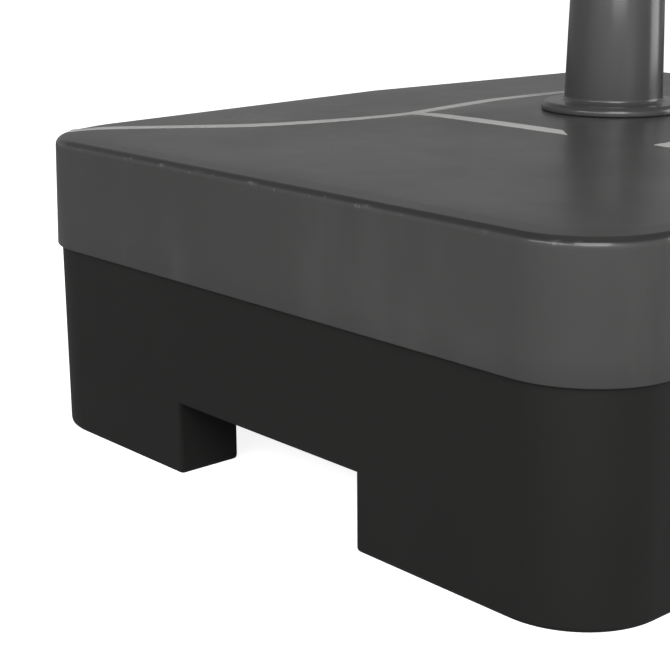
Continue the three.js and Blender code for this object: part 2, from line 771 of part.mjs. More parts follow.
add("height_collar", heightCollar(), blackPlastic);
add("lock_nut", lockNut(), zinc);
add("lock_knob", lockKnob(), blackPlastic);

// ---------------------------------------------------------------- bracket and U-bolts

const BRACKET_FRONT = BOARD_BACK_Y + FRAME_DEPTH + GAP;
const BRACKET_REAR = -MAST_R - GAP;
const U_LEG_X = MAST_R + U_BOLT_R + GAP;

// A side plate of the bracket: a deep web with two lightening holes either side of a diagonal strap.
function bracketWeb(x) {
  const front = BRACKET_FRONT + 1;
  const rear = BRACKET_REAR - 1;
  const web = polygon([
    [front, BRACKET_BOTTOM],
    [front, BRACKET_TOP],
    [rear, BRACKET_TOP],
    [rear, BRACKET_BOTTOM],
  ]);
  const middle = (BRACKET_BOTTOM + BRACKET_TOP) / 2;
  const [flange, strap, reach] = [22, 34, 60];
  const lower = [
    [front + flange, BRACKET_BOTTOM + flange],
    [rear - strap, BRACKET_BOTTOM + flange],
    [front + flange, middle + reach],
  ];
  const upper = [
    [rear - flange, BRACKET_TOP - flange],
    [front + strap, BRACKET_TOP - flange],
    [rear - flange, middle - reach],
  ];
  for (const hole of [lower, upper]) {
    web.holes.push(polygon(hole));
  }
  return prismX(web, [x - BRACKET_PLATE / 2, x + BRACKET_PLATE / 2]);
}

// A rear plate on the pole, a front plate with a window on the board's frame, and two webs between.
function headBracket() {
  const height = [BRACKET_BOTTOM, BRACKET_TOP];
  const rearSpan = [BRACKET_REAR - BRACKET_PLATE, BRACKET_REAR];
  const frontSpan = [BRACKET_FRONT, BRACKET_FRONT + BRACKET_PLATE];
  const through = ([near, far]) => [near - 1, far + 1];
  const rear = box([-BRACKET_HALF_REAR, BRACKET_HALF_REAR], rearSpan, height);
  const front = box([-BRACKET_HALF_FRONT, BRACKET_HALF_FRONT], frontSpan, height);
  const window = box([-BRACKET_WINDOW, BRACKET_WINDOW], through(frontSpan), shrink(height, 50));
  const corners = [-STRUT_X, STRUT_X].flatMap((x) => FRAME_BOLT_Z.map((z) => [x, z]));
  const legs = [-U_LEG_X, U_LEG_X].flatMap((x) => U_BOLT_Z.map((z) => [x, z]));
  const plates = cut(
    join(rear, cut(front, window)),
    ...corners.map(([x, z]) => rodY(RIM_BOLT_R + GAP, through(frontSpan), x, z)),
    ...legs.map(([x, z]) => rodY(U_BOLT_R + GAP, through(rearSpan), x, z)),
  );
  return join(plates, bracketWeb(-WEB_X), bracketWeb(WEB_X));
}

// Two straight legs along Y joined by a half circle round the back of the pole.
class UPath extends THREE.Curve {
  constructor(halfWidth, legEnd, z) {
    super();
    Object.assign(this, { halfWidth, legEnd, z });
  }

  getPoint(t, target = new THREE.Vector3()) {
    const leg = -this.legEnd;
    const arc = Math.PI * this.halfWidth;
    const s = t * (2 * leg + arc);
    if (s < leg) {
      return target.set(-this.halfWidth, this.legEnd + s, this.z);
    }
    if (s > leg + arc) {
      return target.set(this.halfWidth, -(s - leg - arc), this.z);
    }
    const angle = Math.PI - (s - leg) / this.halfWidth;
    return target.set(this.halfWidth * Math.cos(angle), this.halfWidth * Math.sin(angle), this.z);
  }
}

function uBolt(z) {
  const legEnd = BRACKET_REAR - BRACKET_PLATE - 14;
  return bentBar(new UPath(U_LEG_X, legEnd, z), U_BOLT_R, 24);
}

function uBoltNut(x, z) {
  const face = BRACKET_REAR - BRACKET_PLATE - GAP;
  const hole = rodY(U_BOLT_R + GAP, [face - NUT_HEIGHT - 1, face + 1], x, z);
  return cut(hexY(NUT_R, [face - NUT_HEIGHT, face], x, z), hole);
}

add("head_bracket", headBracket(), frameSteel);
["lower", "upper"].forEach((level, row) => {
  add(`u_bolt_${level}`, uBolt(U_BOLT_Z[row]), zinc);
  for (const [label, side] of SIDES) {
    add(`u_bolt_nut_${level}_${label}`, uBoltNut(side * U_LEG_X, U_BOLT_Z[row]), zinc);
  }
});

// ---------------------------------------------------------------- board frame

const BOARD_MIDDLE = BOARD_BOTTOM + BOARD_HEIGHT / 2;
const BOARD_FRONT_Y = BOARD_BACK_Y - PANEL_THICKNESS;
const FRAME_REAR_Y = BOARD_BACK_Y + FRAME_DEPTH;
const FRAME_INSET = 8;

function frameRing(inset, span) {
  const halfX = BOARD_WIDTH / 2 - inset;
  const halfZ = BOARD_HEIGHT / 2 - inset;
  return box([-halfX, halfX], span, [BOARD_MIDDLE - halfZ, BOARD_MIDDLE + halfZ]);
}

// A ring of channel open to the rear, and two upright channels open to the front.
function boardFrame() {
  const rear = FRAME_REAR_Y;
  const span = [BOARD_BACK_Y, rear];
  const bar = FRAME_INSET + FRAME_BAR;
  const ring = cut(frameRing(FRAME_INSET, span), frameRing(bar, [span[0] - 1, span[1] + 1]));
  const groove = cut(
    frameRing(FRAME_INSET + STEEL, [BOARD_BACK_Y + STEEL, rear + 1]),
    frameRing(bar - STEEL, [BOARD_BACK_Y, rear + 2]),
  );
  const inner = BOARD_HEIGHT / 2 - bar + 1;
  const struts = [-STRUT_X, STRUT_X].map((x) => {
    const width = [x - STRUT_WIDTH / 2, x + STRUT_WIDTH / 2];
    const height = [BOARD_MIDDLE - inner, BOARD_MIDDLE + inner];
    const hollow = box(shrink(width, STEEL), [BOARD_BACK_Y - 1, rear - STEEL], shrink(height, STEEL + 1));
    return cut(box(width, span, height), hollow);
  });
  const holes = [-STRUT_X, STRUT_X].flatMap((x) =>
    [...RIM_BOLT_Z, ...FRAME_BOLT_Z].map((z) => rodY(RIM_BOLT_R + GAP, [rear - STEEL - 1, rear + 1], x, z)),
  );
  return cut(join(cut(ring, groove), ...struts), ...holes);
}

// A carriage bolt from inside the upright channel out through the bracket's front plate.
function frameBolt(x, z) {
  const web = FRAME_REAR_Y - STEEL;
  const head = rodY(9, [web - 4, web - GAP], x, z, 14);
  const shank = rodY(RIM_BOLT_R, [web - 1, BRACKET_FRONT + BRACKET_PLATE + 11], x, z);
  return join(head, shank);
}

// A nut on the rear side of a plate whose rear face is at the given y.
function rearNut(x, plateRear, z) {
  const face = plateRear + GAP;
  const hole = rodY(RIM_BOLT_R + GAP, [face - 1, face + NUT_HEIGHT + 1], x, z);
  return cut(hexY(NUT_R, [face, face + NUT_HEIGHT], x, z), hole);
}

function backboard() {
  const inset = TRIM_WALL + GAP;
  const half = [BOARD_WIDTH / 2 - inset, BOARD_HEIGHT / 2 - inset];
  const sheet = roundedRect(half[0], half[1], BOARD_CORNER - inset, [0, BOARD_MIDDLE]);
  const holes = [-STRUT_X, STRUT_X].flatMap((x) =>
    RIM_BOLT_Z.map((z) => rodY(RIM_BOLT_R + 1, [BOARD_BACK_Y - 9, BOARD_BACK_Y + 1], x, z)),
  );
  return cut(prismY(sheet, [BOARD_FRONT_Y, BOARD_BACK_Y]), ...holes);
}

// The edge trim: a lip over the front of the sheet and a wall round its edge.
function boardTrim() {
  const front = BOARD_FRONT_Y - GAP;
  const rear = BOARD_BACK_Y + 6;
  const inset = (depth) => {
    const [halfX, halfZ] = [BOARD_WIDTH / 2 - depth, BOARD_HEIGHT / 2 - depth];
    return roundedRect(halfX, halfZ, Math.max(BOARD_CORNER - depth, 4), [0, BOARD_MIDDLE]);
  };
  const block = prismY(inset(0), [front - TRIM_WALL, rear]);
  const window = prismY(inset(TRIM_LIP), [front - TRIM_WALL - 1, front + 1]);
  const seat = prismY(inset(TRIM_WALL), [front, rear + 1]);
  return cut(block, window, seat);
}

add("board_frame", boardFrame(), frameSteel);
add("backboard", backboard(), clearSheet);
add("board_trim", boardTrim(), blackPlastic);
["lower", "upper"].forEach((level, row) => {
  for (const [label, side] of SIDES) {
    add(`frame_bolt_${level}_${label}`, frameBolt(side * STRUT_X, FRAME_BOLT_Z[row]), zinc);
    const nut = rearNut(side * STRUT_X, BRACKET_FRONT + BRACKET_PLATE, FRAME_BOLT_Z[row]);
    add(`frame_nut_${level}_${label}`, nut, zinc);
  }
});

// ---------------------------------------------------------------- rim mount

const MOUNT_BACK = BOARD_FRONT_Y - GAP;
const MOUNT_FRONT = MOUNT_BACK - 4;
const MOUNT_HALF_X = 82;
const MOUNT_Z = [2228, 2364];

// A back plate, two cheeks that carry the hinge pin, and a slotted shelf that the springs push up on.
// The cheeks slope down in front of the pivot, by as much as the rim folds.
function rimMount() {
  const plate = box([-MOUNT_HALF_X, MOUNT_HALF_X], [MOUNT_FRONT, MOUNT_BACK], MOUNT_Z);
  const root = MOUNT_FRONT + 1;
  const cheekTop = RIM_PLATE_BOTTOM - 2 * GAP;
  const cheekShape = polygon([
    [root, MOUNT_Z[0] + 4],
    [root, cheekTop],
    [PIVOT_Y, cheekTop],
    [PIVOT_Y - CHEEK_NOSE, cheekTop - CHEEK_NOSE * Math.tan(RIM_FOLD)],
    [PIVOT_Y - CHEEK_NOSE, PIVOT_Z - 8],
    [PIVOT_Y, PIVOT_Z - 14],
  ]);
  const cheeks = SIDES.map(([, side]) =>
    prismX(cheekShape, mirrored(side, CHEEK_X, CHEEK_X + CHEEK_WALL)),
  );
  const shelf = box([-CHEEK_X - 1, CHEEK_X + 1], [SPRING_Y - 14, MOUNT_FRONT + 1], [SHELF_BOTTOM, SHELF_TOP]);
  const slots = [-SPRING_X, SPRING_X].map((x) =>
    box([x - 5.5, x + 5.5], [SPRING_Y - 6, SPRING_Y + 9], [SHELF_BOTTOM - 1, SHELF_TOP + 1]),
  );
  const holes = [-STRUT_X, STRUT_X].flatMap((x) =>
    RIM_BOLT_Z.map((z) => rodY(RIM_BOLT_R + GAP, [MOUNT_FRONT - 1, MOUNT_BACK + 1], x, z)),
  );
  const pivotHole = rodX(PIVOT_R + GAP, [-CHEEK_X - 9, CHEEK_X + 9], PIVOT_Y, PIVOT_Z);
  return cut(join(plate, ...cheeks, shelf), ...slots, ...holes, pivotHole);
}

function hingePin() {
  const end = CHEEK_X + CHEEK_WALL + 5;
  const shank = rodX(PIVOT_R, [-end, end], PIVOT_Y, PIVOT_Z);
  const heads = [-1, 1].map((side) => rodX(7, [side * (end - 4.6), side * end], PIVOT_Y, PIVOT_Z, 14));
  return join(shank, ...heads);
}

function rimBolt(x, z) {
  const head = hexY(NUT_R, [MOUNT_FRONT - GAP - 5.5, MOUNT_FRONT - GAP], x, z);
  const shank = rodY(RIM_BOLT_R, [MOUNT_FRONT - 1, FRAME_REAR_Y + 11], x, z);
  return join(head, shank);
}

add("rim_mount", rimMount(), frameSteel);
add("rim_hinge_pin", hingePin(), zinc);
["lower", "upper"].forEach((level, row) => {
  for (const [label, side] of SIDES) {
    add(`rim_bolt_${level}_${label}`, rimBolt(side * STRUT_X, RIM_BOLT_Z[row]), zinc);
    add(`rim_nut_${level}_${label}`, rearNut(side * STRUT_X, FRAME_REAR_Y, RIM_BOLT_Z[row]), zinc);
  }
});

// ---------------------------------------------------------------- rim

const RING_R = RIM_INNER_R + RIM_ROD_R;
const RING_Z = RIM_TOP_Z - RIM_ROD_R;
const HOOKS = 12;

// A half circle in an upright plane, hanging from a point, for one net hook.
class HookPath extends THREE.Curve {
  constructor(angle, radius) {
    super();
    Object.assign(this, { angle, radius });
  }

  getPoint(t, target = new THREE.Vector3()) {
    const swing = Math.PI * (t - 0.5);
    const turn = this.angle + (this.radius * Math.sin(swing)) / RING_R;
    const z = RING_Z - RIM_ROD_R + 2 - this.radius * 1.5 * Math.cos(swing);
    return target.set(RING_R * Math.cos(turn), RIM_Y + RING_R * Math.sin(turn), z);
  }
}

// The ring, a plate with two ears on the hinge pin, two braces and the net hooks, welded together.
function rim() {
  const ring = new THREE.TorusGeometry(RING_R, RIM_ROD_R, 6, 36).translate(0, RIM_Y, RING_Z);
  const rearY = MOUNT_FRONT - 2;
  const plate = prismZ(
    polygon([
      [-62, rearY],
      [-78, RIM_Y + 222],
      [78, RIM_Y + 222],
      [62, rearY],
    ]),
    [RIM_PLATE_BOTTOM, RIM_PLATE_TOP],
  );
  const ear = CHEEK_NOSE - 1;
  const earShape = polygon([
    [PIVOT_Y - ear, RIM_PLATE_BOTTOM + 1],
    [PIVOT_Y - ear, PIVOT_Z - ear / 2],
    [PIVOT_Y - ear / 2, PIVOT_Z - ear],
    [PIVOT_Y + ear / 2, PIVOT_Z - ear],
    [PIVOT_Y + ear, PIVOT_Z - ear / 2],
    [PIVOT_Y + ear, RIM_PLATE_BOTTOM + 1],
  ]);
  const ears = SIDES.map(([, side]) => prismX(earShape, mirrored(side, CHEEK_X - 6, CHEEK_X - 2)));
  const braces = SIDES.map(([, side]) => rimBrace(side));
  const hooks = Array.from({ length: HOOKS }, (_, i) => {
    const angle = ((i + 0.5) / HOOKS) * 2 * Math.PI;
    return bentBar(new HookPath(angle, 7), 2, 4, 4);
  });
  const bolts = [-SPRING_X, SPRING_X].map((x) =>
    rodZ(STUD_R + GAP, [RIM_PLATE_BOTTOM - 1, RIM_PLATE_TOP + 1], x, SPRING_Y),
  );
  const pivotHole = rodX(PIVOT_R + GAP, [-CHEEK_X, CHEEK_X], PIVOT_Y, PIVOT_Z);
  return cut(join(ring, plate, ...ears, ...braces, ...hooks), ...bolts, pivotHole);
}

// A round bar from the plate's side to the ring, in the plane of the ring.
function rimBrace(side) {
  const reach = THREE.MathUtils.degToRad(50);
  const start = new THREE.Vector3(side * 62, MOUNT_FRONT - 24, RING_Z - 2);
  const middle = new THREE.Vector3(side * 120, MOUNT_FRONT - 52, RING_Z - 1);
  const end = new THREE.Vector3(side * RING_R * Math.sin(reach), RIM_Y + RING_R * Math.cos(reach), RING_Z);
  return bentBar(new THREE.QuadraticBezierCurve3(start, middle, end), 5, 10);
}

function breakawayBolt(x) {
  const head = hexZ(NUT_R, [RIM_PLATE_TOP + GAP, RIM_PLATE_TOP + 6], x, SPRING_Y);
  const shank = rodZ(STUD_R, [SPRING_BOTTOM - 16, RIM_PLATE_TOP + 1], x, SPRING_Y);
  return join(head, shank);
}

function breakawayNut(x) {
  const top = SPRING_BOTTOM - GAP;
  const washer = rodZ(12, [top - 2, top], x, SPRING_Y, 20);
  const nut = hexZ(NUT_R, [top - 9, top - 1.5], x, SPRING_Y);
  return cut(join(washer, nut), rodZ(STUD_R + GAP, [top - 10, top + 1], x, SPRING_Y));
}

class Helix extends THREE.Curve {
  constructor(radius, [z0, z1], turns) {
    super();
    Object.assign(this, { radius, z0, z1, turns });
  }

  getPoint(t, target = new THREE.Vector3()) {
    const angle = t * this.turns * 2 * Math.PI;
    const z = THREE.MathUtils.lerp(this.z0, this.z1, t);
    return target.set(this.radius * Math.cos(angle), this.radius * Math.sin(angle), z);
  }
}

function breakawaySpring(x) {
  const wire = 1.6;
  const span = [SPRING_BOTTOM + wire + GAP, SHELF_BOTTOM - wire - GAP];
  return bentBar(new Helix(8.5, span, 5), wire, 45, 4).translate(x, SPRING_Y, 0);
}

// The net as a thin funnel that holds its place and size.
function net() {
  const top = RIM_TOP_Z - 34;
  const wall = 4;
  const outer = [
    [120, NET_BOTTOM],
    [124, NET_BOTTOM + 110],
    [168, top - 120],
    [RIM_INNER_R, top],
  ];
  const inner = outer.map(([r, z]) => [r - wall, z]).reverse();
  return closedTurn([...outer, ...inner], 18).translate(0, RIM_Y, 0);
}

add("rim", rim(), rimSteel);
add("net", net(), netCord);
for (const [label, side] of SIDES) {
  add(`breakaway_bolt_${label}`, breakawayBolt(side * SPRING_X), zinc);
  add(`breakaway_nut_${label}`, breakawayNut(side * SPRING_X), zinc);
  add(`breakaway_spring_${label}`, breakawaySpring(side * SPRING_X), springSteel);
}

export default hoop;
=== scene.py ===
"""The looks of a portable basketball hoop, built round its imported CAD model. Metres, +Z up."""

import json
import math
import random

import bmesh
import bpy
from mathutils import Matrix, Vector


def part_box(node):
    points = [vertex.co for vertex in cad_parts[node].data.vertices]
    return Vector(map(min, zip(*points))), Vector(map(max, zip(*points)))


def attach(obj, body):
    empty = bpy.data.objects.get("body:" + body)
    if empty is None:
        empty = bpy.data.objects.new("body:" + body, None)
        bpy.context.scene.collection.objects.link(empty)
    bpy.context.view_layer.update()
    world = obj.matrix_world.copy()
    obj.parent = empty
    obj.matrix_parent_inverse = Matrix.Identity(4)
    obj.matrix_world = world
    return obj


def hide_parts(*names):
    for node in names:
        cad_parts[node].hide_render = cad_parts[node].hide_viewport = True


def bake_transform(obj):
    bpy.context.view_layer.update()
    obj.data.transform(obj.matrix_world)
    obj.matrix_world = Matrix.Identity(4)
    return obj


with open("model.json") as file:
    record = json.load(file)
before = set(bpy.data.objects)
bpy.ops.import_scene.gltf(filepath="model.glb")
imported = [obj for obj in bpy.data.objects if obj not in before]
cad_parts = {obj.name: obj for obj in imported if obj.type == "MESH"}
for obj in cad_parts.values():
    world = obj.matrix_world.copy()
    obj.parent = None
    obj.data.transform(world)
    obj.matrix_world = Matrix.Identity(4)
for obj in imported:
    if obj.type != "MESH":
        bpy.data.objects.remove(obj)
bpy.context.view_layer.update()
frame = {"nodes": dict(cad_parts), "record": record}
MM = 0.001
X, Y, Z = Vector((1, 0, 0)), Vector((0, 1, 0)), Vector((0, 0, 1))


# ---------------------------------------------------------------- materials

class Shader:
    """A node material under construction: a principled surface and short names for what feeds it."""

    def __init__(self, name):
        self.material = bpy.data.materials.new(name)
        self.material.use_nodes = True
        self.tree = self.material.node_tree
        self.tree.nodes.clear()
        self.surface = self.node("ShaderNodeBsdfPrincipled")
        output = self.node("ShaderNodeOutputMaterial")
        self.link(self.surface.outputs[0], output.inputs[0])
        self.place = self.node("ShaderNodeTexCoord").outputs["Object"]

    def node(self, kind, **settings):
        made = self.tree.nodes.new(kind)
        for key, value in settings.items():
            setattr(made, key, value)
        return made

    def link(self, source, target):
        self.tree.links.new(source, target)

    def stretched(self, stretch):
        mapping = self.node("ShaderNodeMapping")
        mapping.inputs["Scale"].default_value = stretch
        self.link(self.place, mapping.inputs["Vector"])
        return mapping.outputs[0]

    def noise(self, scale, detail=2.0, rough=0.5, stretch=(1, 1, 1)):
        made = self.node("ShaderNodeTexNoise")
        made.inputs["Scale"].default_value = scale
        made.inputs["Detail"].default_value = detail
        made.inputs["Roughness"].default_value = rough
        self.link(self.stretched(stretch), made.inputs["Vector"])
        return made.outputs["Fac"]

    def ramp(self, source, low, high, start=0.0, end=1.0):
        """Numbers from start to end as source goes from low to high."""
        made = self.node("ShaderNodeMapRange", clamp=True, interpolation_type="SMOOTHSTEP")
        for key, value in (("From Min", low), ("From Max", high), ("To Min", start), ("To Max", end)):
            made.inputs[key].default_value = value
        self.link(source, made.inputs["Value"])
        return made.outputs[0]

    def sum(self, a, b, operation="ADD"):
        made = self.node("ShaderNodeMath", operation=operation)
        for socket, value in zip(made.inputs, (a, b)):
            if isinstance(value, (int, float)):
                socket.default_value = value
            else:
                self.link(value, socket)
        return made.outputs[0]

    def mix(self, share, a, b):
        made = self.node("ShaderNodeMix", data_type="RGBA")
        colours = [made.inputs[6], made.inputs[7]]
        if isinstance(share, (int, float)):
            made.inputs[0].default_value = share
        else:
            self.link(share, made.inputs[0])
        for socket, value in zip(colours, (a, b)):
            if isinstance(value, (tuple, list)):
                socket.default_value = (*value[:3], 1)
            else:
                self.link(value, socket)
        return made.outputs[2]

    def bump(self, height, distance, strength=1.0, under=None):
        made = self.node("ShaderNodeBump")
        made.inputs["Distance"].default_value = distance
        made.inputs["Strength"].default_value = strength
        self.link(height, made.inputs["Height"])
        if under is not None:
            self.link(under, made.inputs["Normal"])
        return made.outputs[0]

    def set(self, **inputs):
        for key, value in inputs.items():
            socket = self.surface.inputs[key.replace("_", " ")]
            if isinstance(value, (int, float)):
                socket.default_value = value
            elif isinstance(value, (tuple, list)):
                socket.default_value = (*value[:3], 1)
            else:
                self.link(value, socket)
        return self.material


def tone(colour, factor):
    return tuple(min(1.0, channel * factor) for channel in colour)


def scuffs(shader, seed, amount=1.0):
    """Thin short scratches, crossing in two directions, as a mask from 0 to 1."""
    marks = None
    for turn, stretch in enumerate(((1, 1, 14), (14, 1, 1))):
        lines = shader.noise(38 + seed, 6, 0.65, stretch)
        patch = shader.noise(5.3 + seed * 0.7 + turn, 3, 0.6)
        thin = shader.ramp(lines, 0.665, 0.70)
        where = shader.ramp(patch, 0.56, 0.68, 0.0, amount)
        mark = shader.sum(thin, where, "MULTIPLY")
        marks = mark if marks is None else shader.sum(marks, mark, "MAXIMUM")
    return marks


def moulded_plastic(name, colour, rough, seed=0, grain=0.00003, wear=0.25, sheen=0.5, drift_size=0.05,
                    edge_rough=None, smears=0.2):
    """Moulded plastic: slow colour drift, fine skin grain, faint scuffs, a little dust, handled edges, and with
    edge_rough a painted shade: a dark band along the upper part of rounded rims.
    """
    s = Shader(name)
    drift = s.noise(3.1 + seed, 3, 0.5)
    base = s.mix(s.ramp(drift, 0.3, 0.7), tone(colour, 1 - drift_size), tone(colour, 1 + drift_size))
    marks = scuffs(s, seed, wear)
    rubbed = s.ramp(s.noise(17 + seed, 5, 0.62, (1, 1, 0.3)), 0.5, 0.72, 0, smears)
    worn = s.mix(marks, s.mix(rubbed, base, tone(colour, 1.6)), tone(colour, 2.6))
    normal = s.node("ShaderNodeNewGeometry").outputs["Normal"]
    upward = s.node("ShaderNodeSeparateXYZ")
    s.link(normal, upward.inputs[0])
    patches = s.ramp(s.noise(21, 5, 0.7), 0.35, 0.75)
    dust = s.sum(s.ramp(upward.outputs[2], 0.6, 1.0, 0, 0.05), patches, "MULTIPLY")
    final = s.mix(dust, worn, (0.3, 0.29, 0.28))
    gloss = s.ramp(s.noise(11 + seed, 4, 0.6), 0.25, 0.75, rough - 0.03, rough + 0.04)
    if edge_rough is not None:
        rising = s.ramp(upward.outputs[2], 0.1, 0.3)
        turning = s.sum(rising, s.ramp(upward.outputs[2], 0.9, 0.985, 1, 0), "MULTIPLY")
        gloss = s.sum(gloss, s.sum(turning, edge_rough - rough, "MULTIPLY"))
        nicks = s.ramp(s.noise(95, 5, 0.65), 0.56, 0.66, 0, 0.5)
        low_edge = s.ramp(upward.outputs[2], 0.5, 0.75, 1, 0)
        worn_edge = s.sum(s.sum(turning, nicks, "MULTIPLY"), low_edge, "MULTIPLY")
        # Painted shade: the upper part of a rounded rim is darkened in colour, standing in for the dim light that part
        # of the edge faces.
        roll = s.sum(s.ramp(upward.outputs[2], 0.4, 0.6), s.ramp(upward.outputs[2], 0.93, 0.985, 1, 0), "MULTIPLY")
        rim_roll_painted_shade = s.mix(s.sum(roll, 0.85, "MULTIPLY"), final, tone(colour, 0.55))
        final = s.mix(worn_edge, rim_roll_painted_shade, tone(colour, 3.2))
    skin = s.bump(s.noise(1900, 2, 0.5), grain, 0.5)
    wavy = s.bump(s.noise(7, 2, 0.4), 0.0006, 0.06, skin)
    return s.set(Base_Color=final, Roughness=gloss, Normal=wavy, Specular_IOR_Level=sheen)


def powder_coat(name, colour, rough, seed=0, wear=0.2):
    """Powder-coated steel: orange-peel skin, slight colour drift and thin chips."""
    s = Shader(name)
    drift = s.noise(4.7 + seed, 3, 0.5)
    base = s.mix(s.ramp(drift, 0.3, 0.7), tone(colour, 0.93), tone(colour, 1.07))
    marks = scuffs(s, seed + 3, wear)
    worn = s.mix(marks, base, tone(colour, 1.9))
    peel = s.bump(s.noise(620, 2, 0.5), 0.00004, 0.6)
    gloss = s.ramp(s.noise(17 + seed, 3, 0.6), 0.25, 0.75, rough - 0.04, rough + 0.06)
    return s.set(Base_Color=worn, Roughness=gloss, Normal=peel, Coat_Weight=0.15, Coat_Roughness=0.25)


def plated_steel(name, colour, rough, seed=0):
    """Zinc-plated or bare steel: cloudy tone, fine turning lines and dull spots."""
    s = Shader(name)
    cloud = s.noise(160 + seed, 4, 0.6)
    base = s.mix(s.ramp(cloud, 0.3, 0.75), tone(colour, 0.8), tone(colour, 1.1))
    lines = s.noise(900, 2, 0.5, (1, 1, 6))
    gloss = s.ramp(s.noise(240 + seed, 3, 0.6), 0.25, 0.75, rough - 0.08, rough + 0.12)
    return s.set(Base_Color=base, Metallic=1.0, Roughness=gloss, Normal=s.bump(lines, 0.00002, 0.4))


LID_COLOUR = (0.056, 0.0555, 0.055)
TANK_COLOUR = (0.0112, 0.0112, 0.0106)

MATERIALS = {
    "lid_plastic": moulded_plastic("lid_plastic", LID_COLOUR, 0.3, seed=0, wear=0.22, sheen=0.4, edge_rough=0.17, smears=0.35),
    "tank_plastic": moulded_plastic("tank_plastic", TANK_COLOUR, 0.5, seed=2, wear=0.3, grain=0.00005, sheen=0.3),
    "black_plastic": moulded_plastic("black_plastic", (0.016, 0.016, 0.0165), 0.45, seed=4, wear=0.2),
    "pole_steel": powder_coat("pole_steel", (0.074, 0.074, 0.075), 0.34, seed=1),
    "frame_steel": powder_coat("frame_steel", (0.016, 0.016, 0.017), 0.38, seed=5),
    "rim_steel": powder_coat("rim_steel", (0.72, 0.12, 0.022), 0.3, seed=7, wear=0.5),
    "zinc": plated_steel("zinc", (0.62, 0.63, 0.65), 0.3),
    "spring_steel": plated_steel("spring_steel", (0.4, 0.41, 0.43), 0.34, seed=9),
    "seal_rubber": moulded_plastic("seal_rubber", (0.013, 0.013, 0.013), 0.72, seed=6, wear=0.05),
}


def clear_sheet():
    """Clear polycarbonate: slightly tinted, with faint haze and fine wiping marks."""
    s = Shader("clear_sheet")
    haze = s.noise(9, 4, 0.6)
    gloss = s.ramp(haze, 0.3, 0.8, 0.02, 0.09)
    tint = s.mix(s.ramp(haze, 0.3, 0.7), (0.93, 0.97, 0.98), (0.97, 0.985, 0.99))
    wipe = s.bump(s.noise(60, 3, 0.5, (1, 1, 8)), 0.00001, 0.2)
    return s.set(Base_Color=tint, Roughness=gloss, Transmission_Weight=1.0, IOR=1.25, Normal=wipe)


def net_cord():
    """Braided white cord: a fine diagonal braid in relief, with painted shade darkening its grooves, and some greying.
    """
    s = Shader("net_cord")
    braid = s.noise(1500, 2, 0.5, (1, 1, 0.4))
    grey = s.ramp(s.noise(12, 3, 0.6), 0.35, 0.75)
    base = s.mix(grey, (0.86, 0.85, 0.81), (0.74, 0.73, 0.69))
    # Painted shade: where the braid's relief is low, in its grooves, the colour is darkened.
    braid_groove_shade = s.mix(s.ramp(braid, 0.35, 0.65), tone((0.8, 0.79, 0.75), 0.8), base)
    return s.set(Base_Color=braid_groove_shade, Roughness=0.85, Normal=s.bump(braid, 0.0003, 0.8), Sheen_Weight=0.3)


def printed_ink(name, colour):
    """Flat printed ink, slightly worn so that the plastic's tone shows through."""
    s = Shader(name)
    wear = s.ramp(s.noise(120, 5, 0.7), 0.5, 0.8, 0.0, 0.35)
    base = s.mix(wear, colour, tone(colour, 0.62))
    return s.set(Base_Color=base, Roughness=0.5, Normal=s.bump(s.noise(1900, 2, 0.5), 0.00002, 0.4))


MATERIALS["clear_sheet"] = clear_sheet()
MATERIALS["net_cord"] = net_cord()
LINE_INK = printed_ink("line_ink", (0.57, 0.565, 0.55))
BOARD_INK = printed_ink("board_ink", (0.82, 0.82, 0.8))
COLLAR_FINISH = moulded_plastic("collar_plastic", LID_COLOUR, 0.2, seed=3, wear=0.1)

for row in frame["record"]["subparts"]:
    node = frame["nodes"][row["node"]]
    node.data.materials.clear()
    node.data.materials.append(MATERIALS[row["material_slot"]])


# ---------------------------------------------------------------- mesh helpers

class Shell:
    """Collects vertices and faces for one piece."""

    def __init__(self):
        self.points = []
        self.faces = []

    def add(self, points, faces):
        start = len(self.points)
        self.points.extend(Vector(p) for p in points)
        self.faces.extend([start + i for i in face] for face in faces)

    def rings(self, rings, closed=False, caps=True):
        """Skins rings of equal length. An open stack is capped; a closed one joins its ends."""
        count = len(rings[0])
        faces = []
        last = len(rings) if closed else len(rings) - 1
        for ring in range(last):
            following = (ring + 1) % len(rings)
            for i in range(count):
                j = (i + 1) % count
                faces.append([ring * count + i, ring * count + j, following * count + j, following * count + i])
        if caps and not closed:
            faces.append(list(range(count))[::-1])
            faces.append([(len(rings) - 1) * count + i for i in range(count)])
        self.add([p for ring in rings for p in ring], faces)

    def mesh(self, name):
        mesh = bpy.data.meshes.new(name)
        mesh.from_pydata([tuple(p) for p in self.points], [], self.faces)
        work = bmesh.new()
        work.from_mesh(mesh)
        bmesh.ops.recalc_face_normals(work, faces=work.faces)
        work.to_mesh(mesh)
        work.free()
        return mesh

    def finish(self, name, body, slot, stands_for=(), **look):
        return as_piece(self.mesh(name), name, body, slot, stands_for, **look)


def as_piece(mesh, name, body, slot, stands_for=(), smooth=40.0, bevel=0.0, weighted=False, material=None):
    """A mesh as a piece of one body, with its material, its shading and rounded edges."""
    piece = bpy.data.objects.new(name, mesh)
    bpy.context.scene.collection.objects.link(piece)
    mesh.materials.clear()
    mesh.materials.append(material or MATERIALS[slot])
    mesh.shade_smooth()
    if bevel:
        rounding = piece.modifiers.new("edge_rounding", "BEVEL")
        rounding.width = bevel
        rounding.segments = 3
        rounding.limit_method = "WEIGHT" if weighted else "ANGLE"
        rounding.angle_limit = math.radians(smooth)
        rounding.use_clamp_overlap = not weighted
        rounding.harden_normals = not weighted
    mesh.set_sharp_from_angle(angle=math.radians(smooth))
    if body is not None:
        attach(piece, body)
    if stands_for:
        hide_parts(*stands_for)
    return piece


